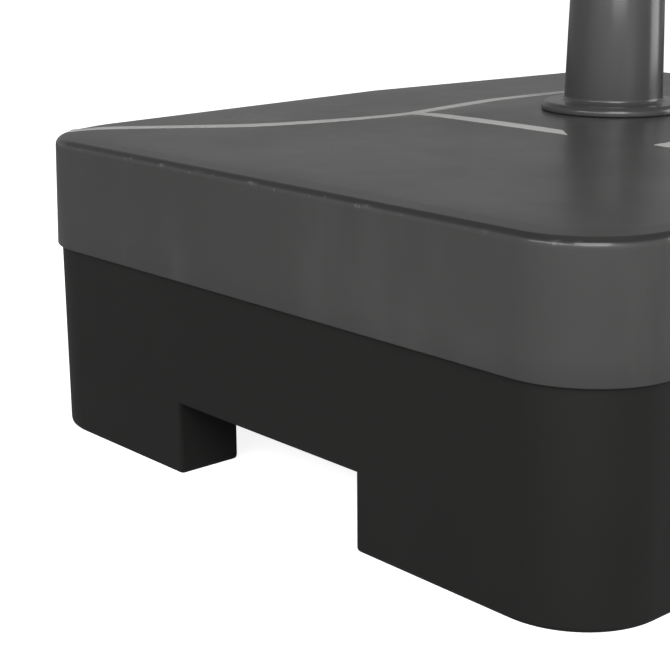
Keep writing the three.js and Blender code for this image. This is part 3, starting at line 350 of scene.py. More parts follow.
def combined(base, tools, operation):
    """The first mesh joined with or cut by the others, as a new mesh."""
    holder = bpy.data.objects.new("work_base", base)
    bpy.context.scene.collection.objects.link(holder)
    helpers = []
    for tool in tools:
        helper = bpy.data.objects.new("work_tool", tool)
        bpy.context.scene.collection.objects.link(helper)
        helpers.append(helper)
        step = holder.modifiers.new("step", "BOOLEAN")
        step.operation = operation
        step.solver = "EXACT"
        step.object = helper
    bpy.context.view_layer.update()
    result = bpy.data.meshes.new_from_object(holder.evaluated_get(bpy.context.evaluated_depsgraph_get()))
    for helper in [holder, *helpers]:
        bpy.data.objects.remove(helper)
    return result


def circle(centre, radius, count, across=X, up=Y):
    return [
        centre + radius * (math.cos(2 * math.pi * i / count) * across + math.sin(2 * math.pi * i / count) * up)
        for i in range(count)
    ]


def revolve(shell, profile, origin, axis=Z, count=64, closed=True):
    """Turns (radius, height) points about an axis through origin. An open profile ends on the axis."""
    across = X if abs(axis.x) < 0.5 else Y
    across = (across - axis * across.dot(axis)).normalized()
    up = axis.cross(across)
    rings = [circle(origin + axis * h, max(r, 1e-5), count, across, up) for r, h in profile]
    shell.rings(rings, closed=closed, caps=not closed)


def arc(centre, radius, start, end, steps):
    """Points of a circular arc in a (u, v) plane, angles in degrees."""
    points = []
    for i in range(steps + 1):
        angle = math.radians(start + (end - start) * i / steps)
        points.append((centre[0] + radius * math.cos(angle), centre[1] + radius * math.sin(angle)))
    return points


def lerp(a, b, t):
    return a + (b - a) * t


def smooth_step(t):
    t = max(0.0, min(1.0, t))
    return t * t * (3 - 2 * t)


def box_of(node):
    low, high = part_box(node)
    return low, high, (low + high) / 2


# ---------------------------------------------------------------- lid

lid_low, lid_high, _ = box_of("base_lid")
LID_HALF = Vector((lid_high.x, lid_high.y, 0))
LID_BOTTOM = lid_low.z
LID_TOP = lid_high.z
LID_RIM = LID_TOP - 10.5 * MM
LID_CORNER = 55 * MM
LID_DRAFT = 1.8 * MM
LID_WALL = 2.6 * MM
RIM_FILLET = 5.5 * MM
RIM_ROLL = 24 * MM
RIM_ROLL_DROP = 1.5 * MM
LID_CROWN = 3.7 * MM
INNER_SHARE = 0.4
HIP_CHAMFER = 0.5128
PLATEAU_R = 62 * MM
LID_HOLE = 36 * MM


def lid_outline(inset, per_corner=80, per_side=16):
    """Points round the lid, drawn in by inset, the same number for any inset."""
    corner = LID_CORNER - inset
    cx = LID_HALF.x - LID_CORNER
    cy = LID_HALF.y - LID_CORNER
    points = []
    for quarter, (sx, sy) in enumerate(((1, 1), (-1, 1), (-1, -1), (1, -1))):
        for px, py in arc((sx * cx, sy * cy), corner, quarter * 90, quarter * 90 + 90, per_corner):
            points.append((px, py))
        nx, ny = ((-1, 1), (-1, -1), (1, -1), (1, 1))[quarter]
        end = points[-1]
        angle = math.radians(quarter * 90 + 90)
        start = (nx * cx + corner * math.cos(angle), ny * cy + corner * math.sin(angle))
        for i in range(1, per_side):
            t = i / per_side
            points.append((lerp(end[0], start[0], t), lerp(end[1], start[1], t)))
    return points


def lid_share(x, y):
    """How far out a point is: 1 on the lid's outline, 0 at the middle, along shrunken outlines."""
    hx, hy, r = LID_HALF.x - LID_DRAFT, LID_HALF.y - LID_DRAFT, LID_CORNER - LID_DRAFT
    ax, ay = abs(x), abs(y)
    cx, cy = hx - r, hy - r
    side = max(ax / hx, ay / hy)
    if ay <= side * cy or ax <= side * cx:
        return side
    a = cx * cx + cy * cy - r * r
    b = ax * cx + ay * cy
    c = ax * ax + ay * ay
    return (b - math.sqrt(max(b * b - a * c, 0))) / a


def hip_share(x, y):
    """How far down the slopes a point is: flat slopes that meet in narrow chamfered hips."""
    across, along = abs(x) / (LID_HALF.x - LID_DRAFT), abs(y) / (LID_HALF.y - LID_DRAFT)
    return max(across, along, HIP_CHAMFER * (across + along))


def lid_height(x, y):
    """Height of the lid's hipped top: four shallow slopes up to a round plateau, crowned at the long sides."""
    share = lid_share(x, y)
    reach = math.hypot(x, y)
    if reach <= PLATEAU_R:
        return LID_TOP
    inland = smooth_step((1 - share) * LID_HALF.x / RIM_ROLL)
    climb = 1 - lerp(share, hip_share(x, y), inland)
    fade = 1.0
    if share < INNER_SHARE:
        inner_reach = reach * INNER_SHARE / share
        fade = (reach - PLATEAU_R) / (inner_reach - PLATEAU_R)
        scale = INNER_SHARE / share
        climb = lerp(1.0, 1 - hip_share(x * scale, y * scale), fade)
    crown = LID_CROWN * min(share, 1) * (1 - min(1.0, abs(y) / share / LID_HALF.y)) * fade
    edge = (1 - share) * LID_HALF.x
    roll = RIM_ROLL_DROP * max(0.0, 1 - edge / RIM_ROLL) ** 2
    return LID_RIM + (LID_TOP - LID_RIM) * climb + crown - roll


def lid_ring(share, rounding=0.0, radius=0.0, drop=0.0):
    """A ring of the lid's top at some share of the outline, morphed towards a circle."""
    outline = lid_outline(LID_DRAFT)
    ring = []
    for i, (x, y) in enumerate(outline):
        angle = math.atan2(y / LID_HALF.y, x / LID_HALF.x)
        px = lerp(x * share, radius * math.cos(angle), rounding)
        py = lerp(y * share, radius * math.sin(angle), rounding)
        ring.append(Vector((px, py, lid_height(px, py) - drop)))
    return ring


def skirt_ring(inset, height_of):
    return [Vector((x, y, height_of(x, y))) for x, y in lid_outline(inset)]


def build_lid():
    shell = Shell()
    rings = []
    lip = 0.8 * MM
    rings.append(skirt_ring(lip, lambda x, y: LID_BOTTOM))
    rings.append(skirt_ring(lip * 0.3, lambda x, y: LID_BOTTOM + lip * 0.3))
    rings.append(skirt_ring(0, lambda x, y: LID_BOTTOM + lip))
    crown_of = lambda x, y: LID_CROWN * (1 - min(1.0, abs(y) / LID_HALF.y)) - RIM_ROLL_DROP
    for i in range(1, 5):
        t = i / 5
        rings.append(skirt_ring(LID_DRAFT * t, lambda x, y: lerp(LID_BOTTOM, LID_RIM - RIM_FILLET, t)))
    for i in range(9):
        angle = math.radians(90 * i / 8)
        inset = LID_DRAFT + RIM_FILLET * (1 - math.cos(angle))
        drop = RIM_FILLET * (1 - math.sin(angle))
        rings.append(skirt_ring(inset, lambda x, y: LID_RIM + crown_of(x, y) - drop))
    edge = 1 - RIM_FILLET / LID_HALF.x
    shares = [edge - (edge - 0.9) * i / 6 for i in range(1, 6)]
    shares += [0.9 - 0.5 * i / 14 for i in range(15)]
    rings += [lid_ring(share) for share in shares]
    for i in range(1, 9):
        rings.append(lid_ring(INNER_SHARE, i / 8, PLATEAU_R + 0.1 * MM))
    rings += [lid_ring(INNER_SHARE, 1, radius) for radius in (PLATEAU_R - 2 * MM, LID_HOLE + 4 * MM, LID_HOLE)]
    under = [[Vector((p.x, p.y, p.z - LID_WALL)) for p in rings[-1]]]
    under += [lid_ring(share, drop=LID_WALL) for share in (0.3, 0.6, 0.9)]
    inner = LID_DRAFT + LID_WALL
    under.append(skirt_ring(inner + RIM_FILLET, lambda x, y: LID_RIM + crown_of(x, y) - LID_WALL))
    under.append(skirt_ring(inner, lambda x, y: LID_RIM - RIM_FILLET - LID_WALL))
    under.append(skirt_ring(LID_WALL, lambda x, y: LID_BOTTOM))
    shell.rings(rings + under, closed=True)
    shell.finish("lid_shell", "base", "lid_plastic", ["base_lid"], smooth=50)


build_lid()


# ---------------------------------------------------------------- printed lines on the lid

FILM = 0.15 * MM
SIDE_LINE = 11 * MM
CROSS_LINE = 10.5 * MM
CROSS_START_Y = -89.5 * MM
CROSS_END_Y = -93 * MM
THROAT = Vector((-101 * MM, -92 * MM))
BELLY_X = -112 * MM


def bezier(points, steps):
    a, b, c, d = points
    made = []
    for i in range(steps + 1):
        t = i / steps
        made.append(a * (1 - t) ** 3 + 3 * b * t * (1 - t) ** 2 + 3 * c * t * t * (1 - t) + d * t ** 3)
    return made


def film_strip(name, left, right):
    """A thin closed strip on the lid between two edges of equal length."""
    shell = Shell()
    rings = []
    for a, b in zip(left, right):
        across = [a, (a + b) / 2, b]
        top = [Vector((p.x, p.y, lid_height(p.x, p.y) + FILM)) for p in across]
        foot = [Vector((p.x, p.y, lid_height(p.x, p.y) - FILM)) for p in reversed(across)]
        rings.append(top + foot)
    shell.rings(rings)
    shell.finish(name, "base", "lid_plastic", smooth=30, material=LINE_INK)


def side_line():
    """The middle of the left line: from the front corner, round the pole, to a square end behind it."""
    corner = Vector((-237 * MM, -288 * MM))
    bend = Vector((-156 * MM, -211.5 * MM))
    end_y = -THROAT.y
    run = [lerp(corner, bend, i / 12) for i in range(12)]
    turn = bezier([bend, bend + (bend - corner) * 0.33, THROAT - Vector((0, 33 * MM)), THROAT], 28)
    waist = []
    for i in range(1, 25):
        y = lerp(THROAT.y, end_y, i / 24)
        waist.append(Vector((lerp(THROAT.x, BELLY_X, math.sin(math.pi / 2 * min(1, i / 18))), y)))
    return run + turn + waist


def build_lid_lines():
    """A side line and a cross line, and the same two turned half way round the pole."""
    middle = side_line()
    left, right = [], []
    for i, p in enumerate(middle):
        ahead = middle[min(i + 1, len(middle) - 1)] - middle[max(i - 1, 0)]
        side = Vector((-ahead.y, ahead.x)).normalized() * SIDE_LINE / 2
        left.append(p + side)
        right.append(p - side)
    start = THROAT.x + SIDE_LINE * 0.3
    near, far = [], []
    for i in range(21):
        y = lerp(CROSS_START_Y, CROSS_END_Y, i / 20)
        near.append(Vector((lerp(start, 48.2 * MM, i / 20), y - CROSS_LINE)))
        far.append(Vector((lerp(start, 35 * MM, i / 20), y)))
    for label, sign in (("front", 1), ("rear", -1)):
        film_strip(f"lid_side_line_{label}", [p * sign for p in left], [p * sign for p in right])
        film_strip(f"lid_cross_line_{label}", [p * sign for p in near], [p * sign for p in far])


build_lid_lines()


# ---------------------------------------------------------------- ballast tank

tank_low, tank_high, _ = box_of("base_tank")
TANK_HALF = Vector((tank_high.x, tank_high.y))
TANK_CORNER = 52 * MM
TANK_FLOOR = 47 * MM
SHOULDER = 134 * MM
TANK_TOP = 194 * MM
FOOT_DEPTH = 45.5 * MM
NOTCH_HALF = 82.5 * MM
SIDE_FOOT = 150 * MM
FOOT_ROUNDING = 3 * MM
EDGE_ROUNDING = 2.4 * MM
HEEL_Y = 262 * MM
REAR_FOOT_X = 150 * MM
HOUSING_X = 152 * MM
HOUSING_Y = 220 * MM
HOUSING_BOTTOM = 30 * MM
COLUMN_R = 40 * MM

wheel_low, wheel_high, wheel_middle = box_of("wheel_right")
WHEEL_R = (wheel_high.y - wheel_low.y) / 2
POCKET_HALF = 18 * MM


def prism(outline, low, high, along=Z):
    """A closed mesh from a flat outline of points, pulled from low to high along an axis."""
    shell = Shell()
    shell.rings([[p + along * low for p in outline], [p + along * high for p in outline]])
    return shell


def flat(points):
    return [Vector((x, y, 0)) for x, y in points]


def mirrored(points, side):
    """A flat outline on the right, or its mirror image on the left in the same turning sense."""
    return points if side > 0 else [(-x, y) for x, y in reversed(points)]


def tank_outline(inset=0.0):
    points = []
    cx, cy = TANK_HALF.x - TANK_CORNER, TANK_HALF.y - TANK_CORNER
    for quarter, (sx, sy) in enumerate(((1, 1), (-1, 1), (-1, -1), (1, -1))):
        points += arc((sx * cx, sy * cy), TANK_CORNER - inset, quarter * 90, quarter * 90 + 90, 20)
    return flat(points)


def foot_outlines(side):
    x, y = TANK_HALF.x, TANK_HALF.y
    inner_x, inner_y = x - FOOT_DEPTH, y - FOOT_DEPTH
    turn = arc((x - TANK_CORNER, TANK_CORNER - y), TANK_CORNER, -90, 0, 20)
    front = [(NOTCH_HALF, -inner_y), (NOTCH_HALF, -y), *turn]
    front += [(x, SIDE_FOOT - y), (inner_x, SIDE_FOOT - y), (inner_x, -inner_y)]
    flank = [(inner_x, HOUSING_Y - SIDE_FOOT), (x, HOUSING_Y - SIDE_FOOT), (x, HOUSING_Y), (inner_x, HOUSING_Y)]
    heel_y = HEEL_Y - FOOT_DEPTH
    heel = [(NOTCH_HALF, heel_y), (REAR_FOOT_X, heel_y), (REAR_FOOT_X, HEEL_Y), (NOTCH_HALF, HEEL_Y)]
    return [flat(mirrored(points, side)) for points in (front, flank, heel)]


def housing_outline(side):
    x, y = TANK_HALF.x, TANK_HALF.y
    turn = arc((x - TANK_CORNER, y - TANK_CORNER), TANK_CORNER, 0, 90, 20)
    return flat(mirrored([(HOUSING_X, HOUSING_Y), (x, HOUSING_Y), *turn, (HOUSING_X, y)], side))


def rod_mesh(name, centre, radius, start, end, axis, count=32):
    shell = Shell()
    revolve(shell, [(radius, start), (radius, end)], centre, axis, count, closed=False)
    return shell.mesh(name)


def build_tank():
    body = Shell()
    levels = [(0, TANK_FLOOR), (0, SHOULDER)]
    levels += [(6 * MM, SHOULDER), (6 * MM, TANK_TOP)]
    body.rings([[p + Z * z for p in tank_outline(inset)] for inset, z in levels])
    added = []
    for side in (-1, 1):
        added += [prism(outline, 0, TANK_FLOOR + 12 * MM).mesh("foot") for outline in foot_outlines(side)]
        added.append(prism(housing_outline(side), HOUSING_BOTTOM, TANK_FLOOR + 12 * MM).mesh("housing"))
    origin = Vector((0, 0, 0))
    added.append(rod_mesh("socket", origin, COLUMN_R, 0, TANK_FLOOR + 12 * MM, Z, 64))
    whole = combined(body.mesh("tank"), added, "UNION")
    taken = [rod_mesh("bore", origin, 28.8 * MM, 13.7 * MM, 0.3, Z, 64)]
    for side in (-1, 1):
        near, far = wheel_middle.x - POCKET_HALF, wheel_middle.x + POCKET_HALF
        pocket = [(near, 224 * MM), (far, 224 * MM), (far, TANK_HALF.y + 0.01), (near, TANK_HALF.y + 0.01)]
        taken.append(prism(flat(mirrored(pocket, side)), -0.01, 104 * MM).mesh("pocket"))
        hub = Vector((0, wheel_middle.y, wheel_middle.z))
        taken.append(rod_mesh("recess", hub, 11 * MM, side * 0.242, side * 0.26, X))
    carved = combined(whole, taken, "DIFFERENCE")
    round_lower_edges(carved)
    as_piece(carved, "tank_body", "base", "tank_plastic", ["base_tank"], bevel=FOOT_ROUNDING, weighted=True)


def round_lower_edges(mesh):
    """Bevel weights: full along the feet's lower edges, small on the other sharp outer edges below the lid."""
    work = bmesh.new()
    work.from_mesh(mesh)
    bmesh.ops.remove_doubles(work, verts=work.verts, dist=1e-5)
    bmesh.ops.dissolve_limit(work, angle_limit=math.radians(0.5), verts=work.verts, edges=work.edges)
    weight = work.edges.layers.float.new("bevel_weight_edge")
    for edge in work.edges:
        if len(edge.link_faces) != 2 or not edge.is_convex or edge.calc_face_angle() < math.radians(35):
            continue
        heights = [vert.co.z for vert in edge.verts]
        middle = (edge.verts[0].co + edge.verts[1].co) / 2
        if max(heights) > 0.12 or math.hypot(middle.x, middle.y) < 0.06:
            continue
        edge[weight] = 1.0 if max(heights) < 1e-4 else EDGE_ROUNDING / FOOT_ROUNDING
    work.to_mesh(mesh)
    work.free()


build_tank()


# ---------------------------------------------------------------- pole and collar

def tube_profile(outer, low, high, wall=1.5 * MM, lip=0.5 * MM):
    return [
        (outer - wall, low + lip), (outer - wall + lip, low), (outer - lip, low), (outer, low + lip),
        (outer, high - lip), (outer - lip, high), (outer - wall + lip, high), (outer - wall, high - lip),
    ]


def necked_profile(outer, low, high, neck, wall=1.5 * MM):
    """A tube whose top end is drawn in, so that it plugs into the next one."""
    slim = outer - wall - 0.3 * MM
    shoulder = high - neck
    return [
        (outer - wall, low), (outer, low), (outer, shoulder - 1.2 * MM), (outer - 0.4 * MM, shoulder - 0.4 * MM),
        (slim, shoulder + 1 * MM), (slim, high), (slim - wall, high), (slim - wall, shoulder - 1 * MM),
        (outer - wall, shoulder - 3 * MM),
    ]


POLE_NECK = 60 * MM
SECTIONS = (("lower_pole", "base", True), ("middle_pole", "base", False),
            ("upper_pole", "mast", True), ("top_pole", "mast", False))


def build_pole_sections():
    for node, body, necked in SECTIONS:
        low, high, middle = box_of(node)
        outer = (high.x - low.x) / 2
        profile = necked_profile(outer, low.z, high.z, POLE_NECK) if necked else tube_profile(outer, low.z, high.z)
        shell = Shell()
        revolve(shell, profile, Vector((0, 0, 0)), count=96)
        shell.finish(f"{node}_tube", body, "pole_steel", [node])


def build_pole_cap():
    low, high, _ = box_of("pole_cap")
    outer = high.x
    seat = high.z - 11 * MM
    profile = [(0, low.z), (outer - 4 * MM, low.z), (outer - 4 * MM, seat), (outer - 0.6 * MM, seat)]
    profile += [(outer, seat + 0.6 * MM), (outer, seat + 4 * MM)]
    profile += [(outer * math.cos(math.radians(a)), seat + 4 * MM + 7 * MM * math.sin(math.radians(a)))
                for a in range(15, 91, 15)]
    shell = Shell()
    revolve(shell, profile, Vector((0, 0, 0)), count=64, closed=False)
    shell.finish("pole_cap_dome", "mast", "black_plastic", ["pole_cap"])


def build_collar():
    low, high, _ = box_of("pole_collar")
    foot = LID_TOP + 0.3 * MM
    flange = high.x
    bore = 28.8 * MM
    sleeve = 33.5 * MM
    thick = 6 * MM
    spigot = LID_HOLE - 1.5 * MM
    edge = 4.2 * MM
    foot_fillet = 3.2 * MM
    profile = [(bore, low.z), (spigot, low.z), (spigot, foot)]
    profile += arc((flange - 1 * MM, foot + 1 * MM), 1 * MM, -90, 0, 5)
    profile += arc((flange - edge, foot + thick - edge), edge, 0, 86, 12)
    profile += arc((sleeve + foot_fillet, foot + thick + 0.2 * MM + foot_fillet), foot_fillet, 268, 180, 12)
    profile += [(30.9 * MM, high.z - 1 * MM), (30.4 * MM, high.z), (bore, high.z)]
    shell = Shell()
    revolve(shell, profile, Vector((0, 0, 0)), count=96)
    shell.finish("pole_collar_shell", "base", "lid_plastic", ["pole_collar"], smooth=35, material=COLLAR_FINISH)


build_pole_sections()
build_pole_cap()
build_collar()


# ---------------------------------------------------------------- nuts, bolts and screws

PITCH = 1.25 * MM


def facing(axis):
    across = X if abs(axis.x) < 0.5 else Y
    return across, axis.cross(across)


def hexagon(shell, origin, axis, corner, start, end, bore=0.0):
    """A chamfered hexagon along an axis, with a bore if it is a nut."""
    across, up = facing(axis)
    flat_r = corner * math.cos(math.radians(30))
    chamfer = corner * 0.16 * (1 if end > start else -1)
    rings = []
    for height, limit in ((start, flat_r * 0.98), (start + chamfer, corner), (end - chamfer, corner), (end, flat_r * 0.98)):
        ring = []
        for i in range(48):
            angle = 2 * math.pi * i / 48
            off = (math.degrees(angle) % 60) - 30
            radius = min(flat_r / math.cos(math.radians(off)), limit)
            ring.append(origin + axis * height + radius * (math.cos(angle) * across + math.sin(angle) * up))
        rings.append(ring)
    if bore:
        rings += [circle(origin + axis * height, bore, 48, across, up) for height in (end, start)]
    shell.rings(rings, closed=bool(bore))


def threaded(shell, origin, axis, radius, start, end, thread_from):
    """A round shank whose last stretch, from thread_from to end, is threaded."""
    sign = 1 if end > start else -1
    profile = [(radius, start), (radius, thread_from)]
    turns = int(abs(end - thread_from) / PITCH) - 1
    for i in range(turns):
        at = thread_from + sign * PITCH * (i + 0.25)
        profile += [(radius * 0.86, at), (radius, at + sign * PITCH * 0.5)]
    profile += [(radius * 0.86, end - sign * PITCH), (radius * 0.72, end)]
    revolve(shell, profile, origin, axis, 24, closed=False)


def disc(shell, origin, axis, radius, start, end, bore=0.0):
    """A flat washer or a round head with softened rims."""
    lip = min(abs(end - start) * 0.3, 0.6 * MM) * (1 if end > start else -1)
    rim = [(radius - abs(lip), start), (radius, start + lip), (radius, end - lip), (radius - abs(lip), end)]
    if bore:
        revolve(shell, [(bore, start), *rim, (bore, end)], origin, axis, 40)
    else:
        revolve(shell, rim, origin, axis, 40, closed=False)


def dress_nut(node, body, axis, thread_r):
    """A nut on a plate: the plate lies on the side of the lower coordinate along the axis."""
    low, high, middle = box_of(node)
    centre = Vector(middle)
    length = abs((high - low).dot(axis)) / 2
    shell = Shell()
    washer = length * 0.32
    disc(shell, centre, axis, 9.2 * MM, -length, -length + washer, thread_r)
    hexagon(shell, centre, axis, 7.3 * MM, -length + washer, length, thread_r)
    shell.finish(f"{node}_hex", body, "zinc", [node], smooth=25)


def build_through_bolts():
    for prefix in ("rim", "frame"):
        for level in ("lower", "upper"):
            for side in ("left", "right"):
                node = f"{prefix}_bolt_{level}_{side}"
                low, high, middle = box_of(node)
                origin = Vector((middle.x, 0, middle.z))
                shell = Shell()
                if prefix == "rim":
                    face = low.y + 5.5 * MM
                    disc(shell, origin, Y, 9 * MM, face, face - 1.2 * MM)
                    hexagon(shell, origin, Y, 7.4 * MM, face - 1 * MM, low.y)
                else:
                    face = low.y + 3.7 * MM
                    dome = [(9 * MM, face), (8.6 * MM, face - 1.2 * MM), (6.5 * MM, face - 2.8 * MM), (3 * MM, low.y)]
                    revolve(shell, dome, origin, Y, 40, closed=False)
                threaded(shell, origin, Y, 4 * MM, face - 0.5 * MM, high.y, high.y - 16 * MM)
                shell.finish(f"{node}_screw", "mast", "zinc", [node], smooth=25)
                dress_nut(f"{prefix}_nut_{level}_{side}", "mast", Y, 4.1 * MM)


def build_small_screws():
    rows = (("collar_screw", "base"), ("lower_joint_screw", "base"), ("upper_joint_screw", "mast"))
    for node, body in rows:
        low, high, middle = box_of(node)
        origin = Vector((middle.x, 0, middle.z))
        shell = Shell()
        head = high.y - 3.7 * MM
        disc(shell, origin, Y, 6.4 * MM, head - 0.1 * MM, head + 1 * MM)
        hexagon(shell, origin, Y, 5.4 * MM, head + 0.8 * MM, high.y)
        threaded(shell, origin, Y, 2.5 * MM, head + 0.5 * MM, low.y, head - 1 * MM)
        shell.finish(f"{node}_body", body, "zinc", [node], smooth=25)


build_through_bolts()
build_small_screws()


# ---------------------------------------------------------------- U-bolts

def sweep(shell, path, radius, sides=14, closed=False):
    """A round bar along a path of points."""
    rings = []
    count = len(path)
    normal = None
    for i, point in enumerate(path):
        ahead = path[(i + 1) % count] if closed or i < count - 1 else point
        behind = path[i - 1] if closed or i > 0 else point
        tangent = (ahead - behind).normalized()
        if normal is None:
            normal = tangent.orthogonal().normalized()
        normal = (normal - tangent * normal.dot(tangent)).normalized()
        size = radius(i / (count - 1)) if callable(radius) else radius
        rings.append(circle(point, size, sides, normal, tangent.cross(normal)))
    shell.rings(rings, closed=closed)


def build_u_bolts():
    for level in ("lower", "upper"):
        low, high, middle = box_of(f"u_bolt_{level}")
        radius = 4 * MM
        leg_x = 28.3 * MM
        path = [Vector((-leg_x, low.y + 12 * MM, middle.z)), Vector((-leg_x, -2 * MM, middle.z))]
        path += [Vector((x, y, middle.z)) for x, y in arc((0, 0), leg_x, 180, 0, 40)]
        path += [Vector((leg_x, -2 * MM, middle.z)), Vector((leg_x, low.y + 12 * MM, middle.z))]
        shell = Shell()
        sweep(shell, path, radius, 20)
        for side in (-1, 1):
            origin = Vector((side * leg_x, 0, middle.z))
            threaded(shell, origin, Y, radius, low.y + 14 * MM, low.y, low.y + 13 * MM)
        shell.finish(f"u_bolt_{level}_bar", "mast", "zinc", [f"u_bolt_{level}"], smooth=30)
        for side in ("left", "right"):
            dress_nut(f"u_bolt_nut_{level}_{side}", "mast", -Y, 4.1 * MM)


build_u_bolts()


# ---------------------------------------------------------------- height lock

def build_height_collar():
    low, high, _ = box_of("height_collar")
    outer = high.x
    bore, neck = 28.8 * MM, 24.3 * MM
    step = 1304 * MM
    profile = [(bore, low.z), (outer - 4 * MM, low.z)]
    profile += arc((outer - 3 * MM, low.z + 3 * MM), 3 * MM, -70, 0, 5)
    for band in range(3):
        at = low.z + 12 * MM + band * 5 * MM
        profile += [(outer, at), (outer - 0.9 * MM, at + 0.8 * MM), (outer - 0.9 * MM, at + 2 * MM), (outer, at + 2.8 * MM)]
    profile += arc((outer - 5 * MM, high.z - 5 * MM), 5 * MM, 0, 80, 7)
    profile += [(neck + 1 * MM, high.z), (neck, high.z - 1 * MM), (neck, step), (bore, step)]
    shell = Shell()
    revolve(shell, profile, Vector((0, 0, 0)), count=96)
    centre = Vector((0, 0, KNOB_Z))
    boss = Shell()
    rim = BOSS_END - 1.2 * MM
    turned = [(16.5 * MM, 30 * MM), (14 * MM, 37 * MM), (13 * MM, 42 * MM), (13 * MM, rim), (11.8 * MM, BOSS_END)]
    revolve(boss, turned, centre, Y, 48, closed=False)
    recess = Shell()
    hexagon(recess, centre, Y, 7.8 * MM, BOSS_END - 7 * MM, BOSS_END + 2 * MM)
    inside = rod_mesh("inside", Vector((0, 0, 0)), neck, low.z - 0.01, high.z + 0.01, Z, 64)
    collar = combined(shell.mesh("collar"), [boss.mesh("boss")], "UNION")
    collar = combined(collar, [recess.mesh("recess"), inside], "DIFFERENCE")
    as_piece(collar, "height_collar_shell", "base", "black_plastic", ["height_collar"], smooth=30)


def build_lock_knob():
    low, high, _ = box_of("lock_knob")
    lobes, outer = 5, 27 * MM
    count = 120
    front = BOSS_END + 2 * MM
    shell = Shell()
    rings = []
    soft = 3.5 * MM
    steps = [(soft * (1 - math.sin(math.radians(a))), front + soft * (1 - math.cos(math.radians(a))))
             for a in range(0, 91, 15)]
    steps += [(soft * (1 - math.cos(math.radians(a))), high.y - soft * (1 - math.sin(math.radians(a))))
              for a in range(0, 91, 15)]
    for inset, y in steps:
        ring = []
        for i in range(count):
            angle = 2 * math.pi * i / count
            wave = 0.88 + 0.12 * math.cos(lobes * angle)
            radius = outer * wave - inset
            ring.append(Vector((radius * math.cos(angle), y, KNOB_Z + radius * math.sin(angle))))
        rings.append(ring)
    for radius, depth in ((13 * MM, 0), (12 * MM, 1.6 * MM), (4 * MM, 2 * MM)):
        rings.append(circle(Vector((0, high.y - depth, KNOB_Z)), radius, count, X, Z))
    shell.rings(rings)
    centre = Vector((0, 0, KNOB_Z))
    revolve(shell, [(11 * MM, BOSS_END + 0.3 * MM), (11 * MM, front + 2 * MM)], centre, Y, 40, closed=False)
    shell.finish("lock_knob_grip", "lock_knob", "black_plastic", ["lock_knob"], smooth=40)
    stud = Shell()
    threaded(stud, centre, Y, 4 * MM, front + 4 * MM, low.y, BOSS_END + 0.2 * MM)
    stud.finish("lock_knob_stud", "lock_knob", "zinc", smooth=25)


KNOB_Z = 1318 * MM
BOSS_END = 52 * MM
build_height_collar()
build_lock_knob()


# ---------------------------------------------------------------- wheels, fill cap and drain plug

def build_wheels():
    for label, side in (("left", -1), ("right", 1)):
        centre = Vector((side * wheel_middle.x, wheel_middle.y, wheel_middle.z))
        half = 15 * MM
        web = 5 * MM
        rim_r = WHEEL_R - 10 * MM
        profile = [(5.3 * MM, -half), (13 * MM, -half), (14 * MM, -half + 1 * MM), (14.5 * MM, -web), (rim_r - 1 * MM, -web)]
        profile += [(rim_r, -half + 1 * MM), (rim_r + 1 * MM, -half), (WHEEL_R - 4 * MM, -half)]
        profile += arc((WHEEL_R - 4 * MM, -half + 4 * MM), 4 * MM, -80, 0, 6)[::1] and [
            (WHEEL_R - 4 * MM + 4 * MM * math.sin(math.radians(a)), -half + 4 * MM - 4 * MM * math.cos(math.radians(a)))
            for a in (22, 45, 68, 90)]
        for groove in (-4, 0, 4):
            at = groove * MM
            profile += [(WHEEL_R, at - 1 * MM), (WHEEL_R - 1 * MM, at - 0.5 * MM), (WHEEL_R - 1 * MM, at + 0.5 * MM), (WHEEL_R, at + 1 * MM)]
        right = [(r, -x) for r, x in profile if x < -4.9 * MM]
        profile += right[::-1]
        shell = Shell()
        revolve(shell, profile, centre, X, 72)
        body = f"wheel_{label}"
        for spoke in range(8):
            angle = 2 * math.pi * (spoke + 0.5) / 8
            out = Vector((0, math.cos(angle), math.sin(angle)))
            across = Vector((0, -math.sin(angle), math.cos(angle)))
            mid = centre + out * (rim_r + 13 * MM) / 2
            add_block(shell, mid, out * (rim_r - 12 * MM) / 2, across * 1.4 * MM, X * (half - 3 * MM))
        shell.finish(f"wheel_{label}_tread", body, "black_plastic", [body], smooth=35)
        axle = Shell()
        node = f"wheel_axle_{label}"
        low, high, _ = box_of(node)
        inner, outer = (low.x, high.x) if side > 0 else (high.x, low.x)
        hub = Vector((0, wheel_middle.y, wheel_middle.z))
        head = outer - side * 4.7 * MM
        revolve(axle, [(5 * MM, inner), (5 * MM, head)], hub, X, 32, closed=False)
        hexagon(axle, hub, X, 8.8 * MM, head, outer)
        axle.finish(f"{node}_pin", "base", "zinc", [node], smooth=25)


def add_block(shell, centre, a, b, c):
    corners = [centre + i * a + j * b + k * c for k in (-1, 1) for j in (-1, 1) for i in (-1, 1)]
    shell.add(corners, [(0, 2, 3, 1), (4, 5, 7, 6), (0, 1, 5, 4), (2, 6, 7, 3), (0, 4, 6, 2), (1, 3, 7, 5)])


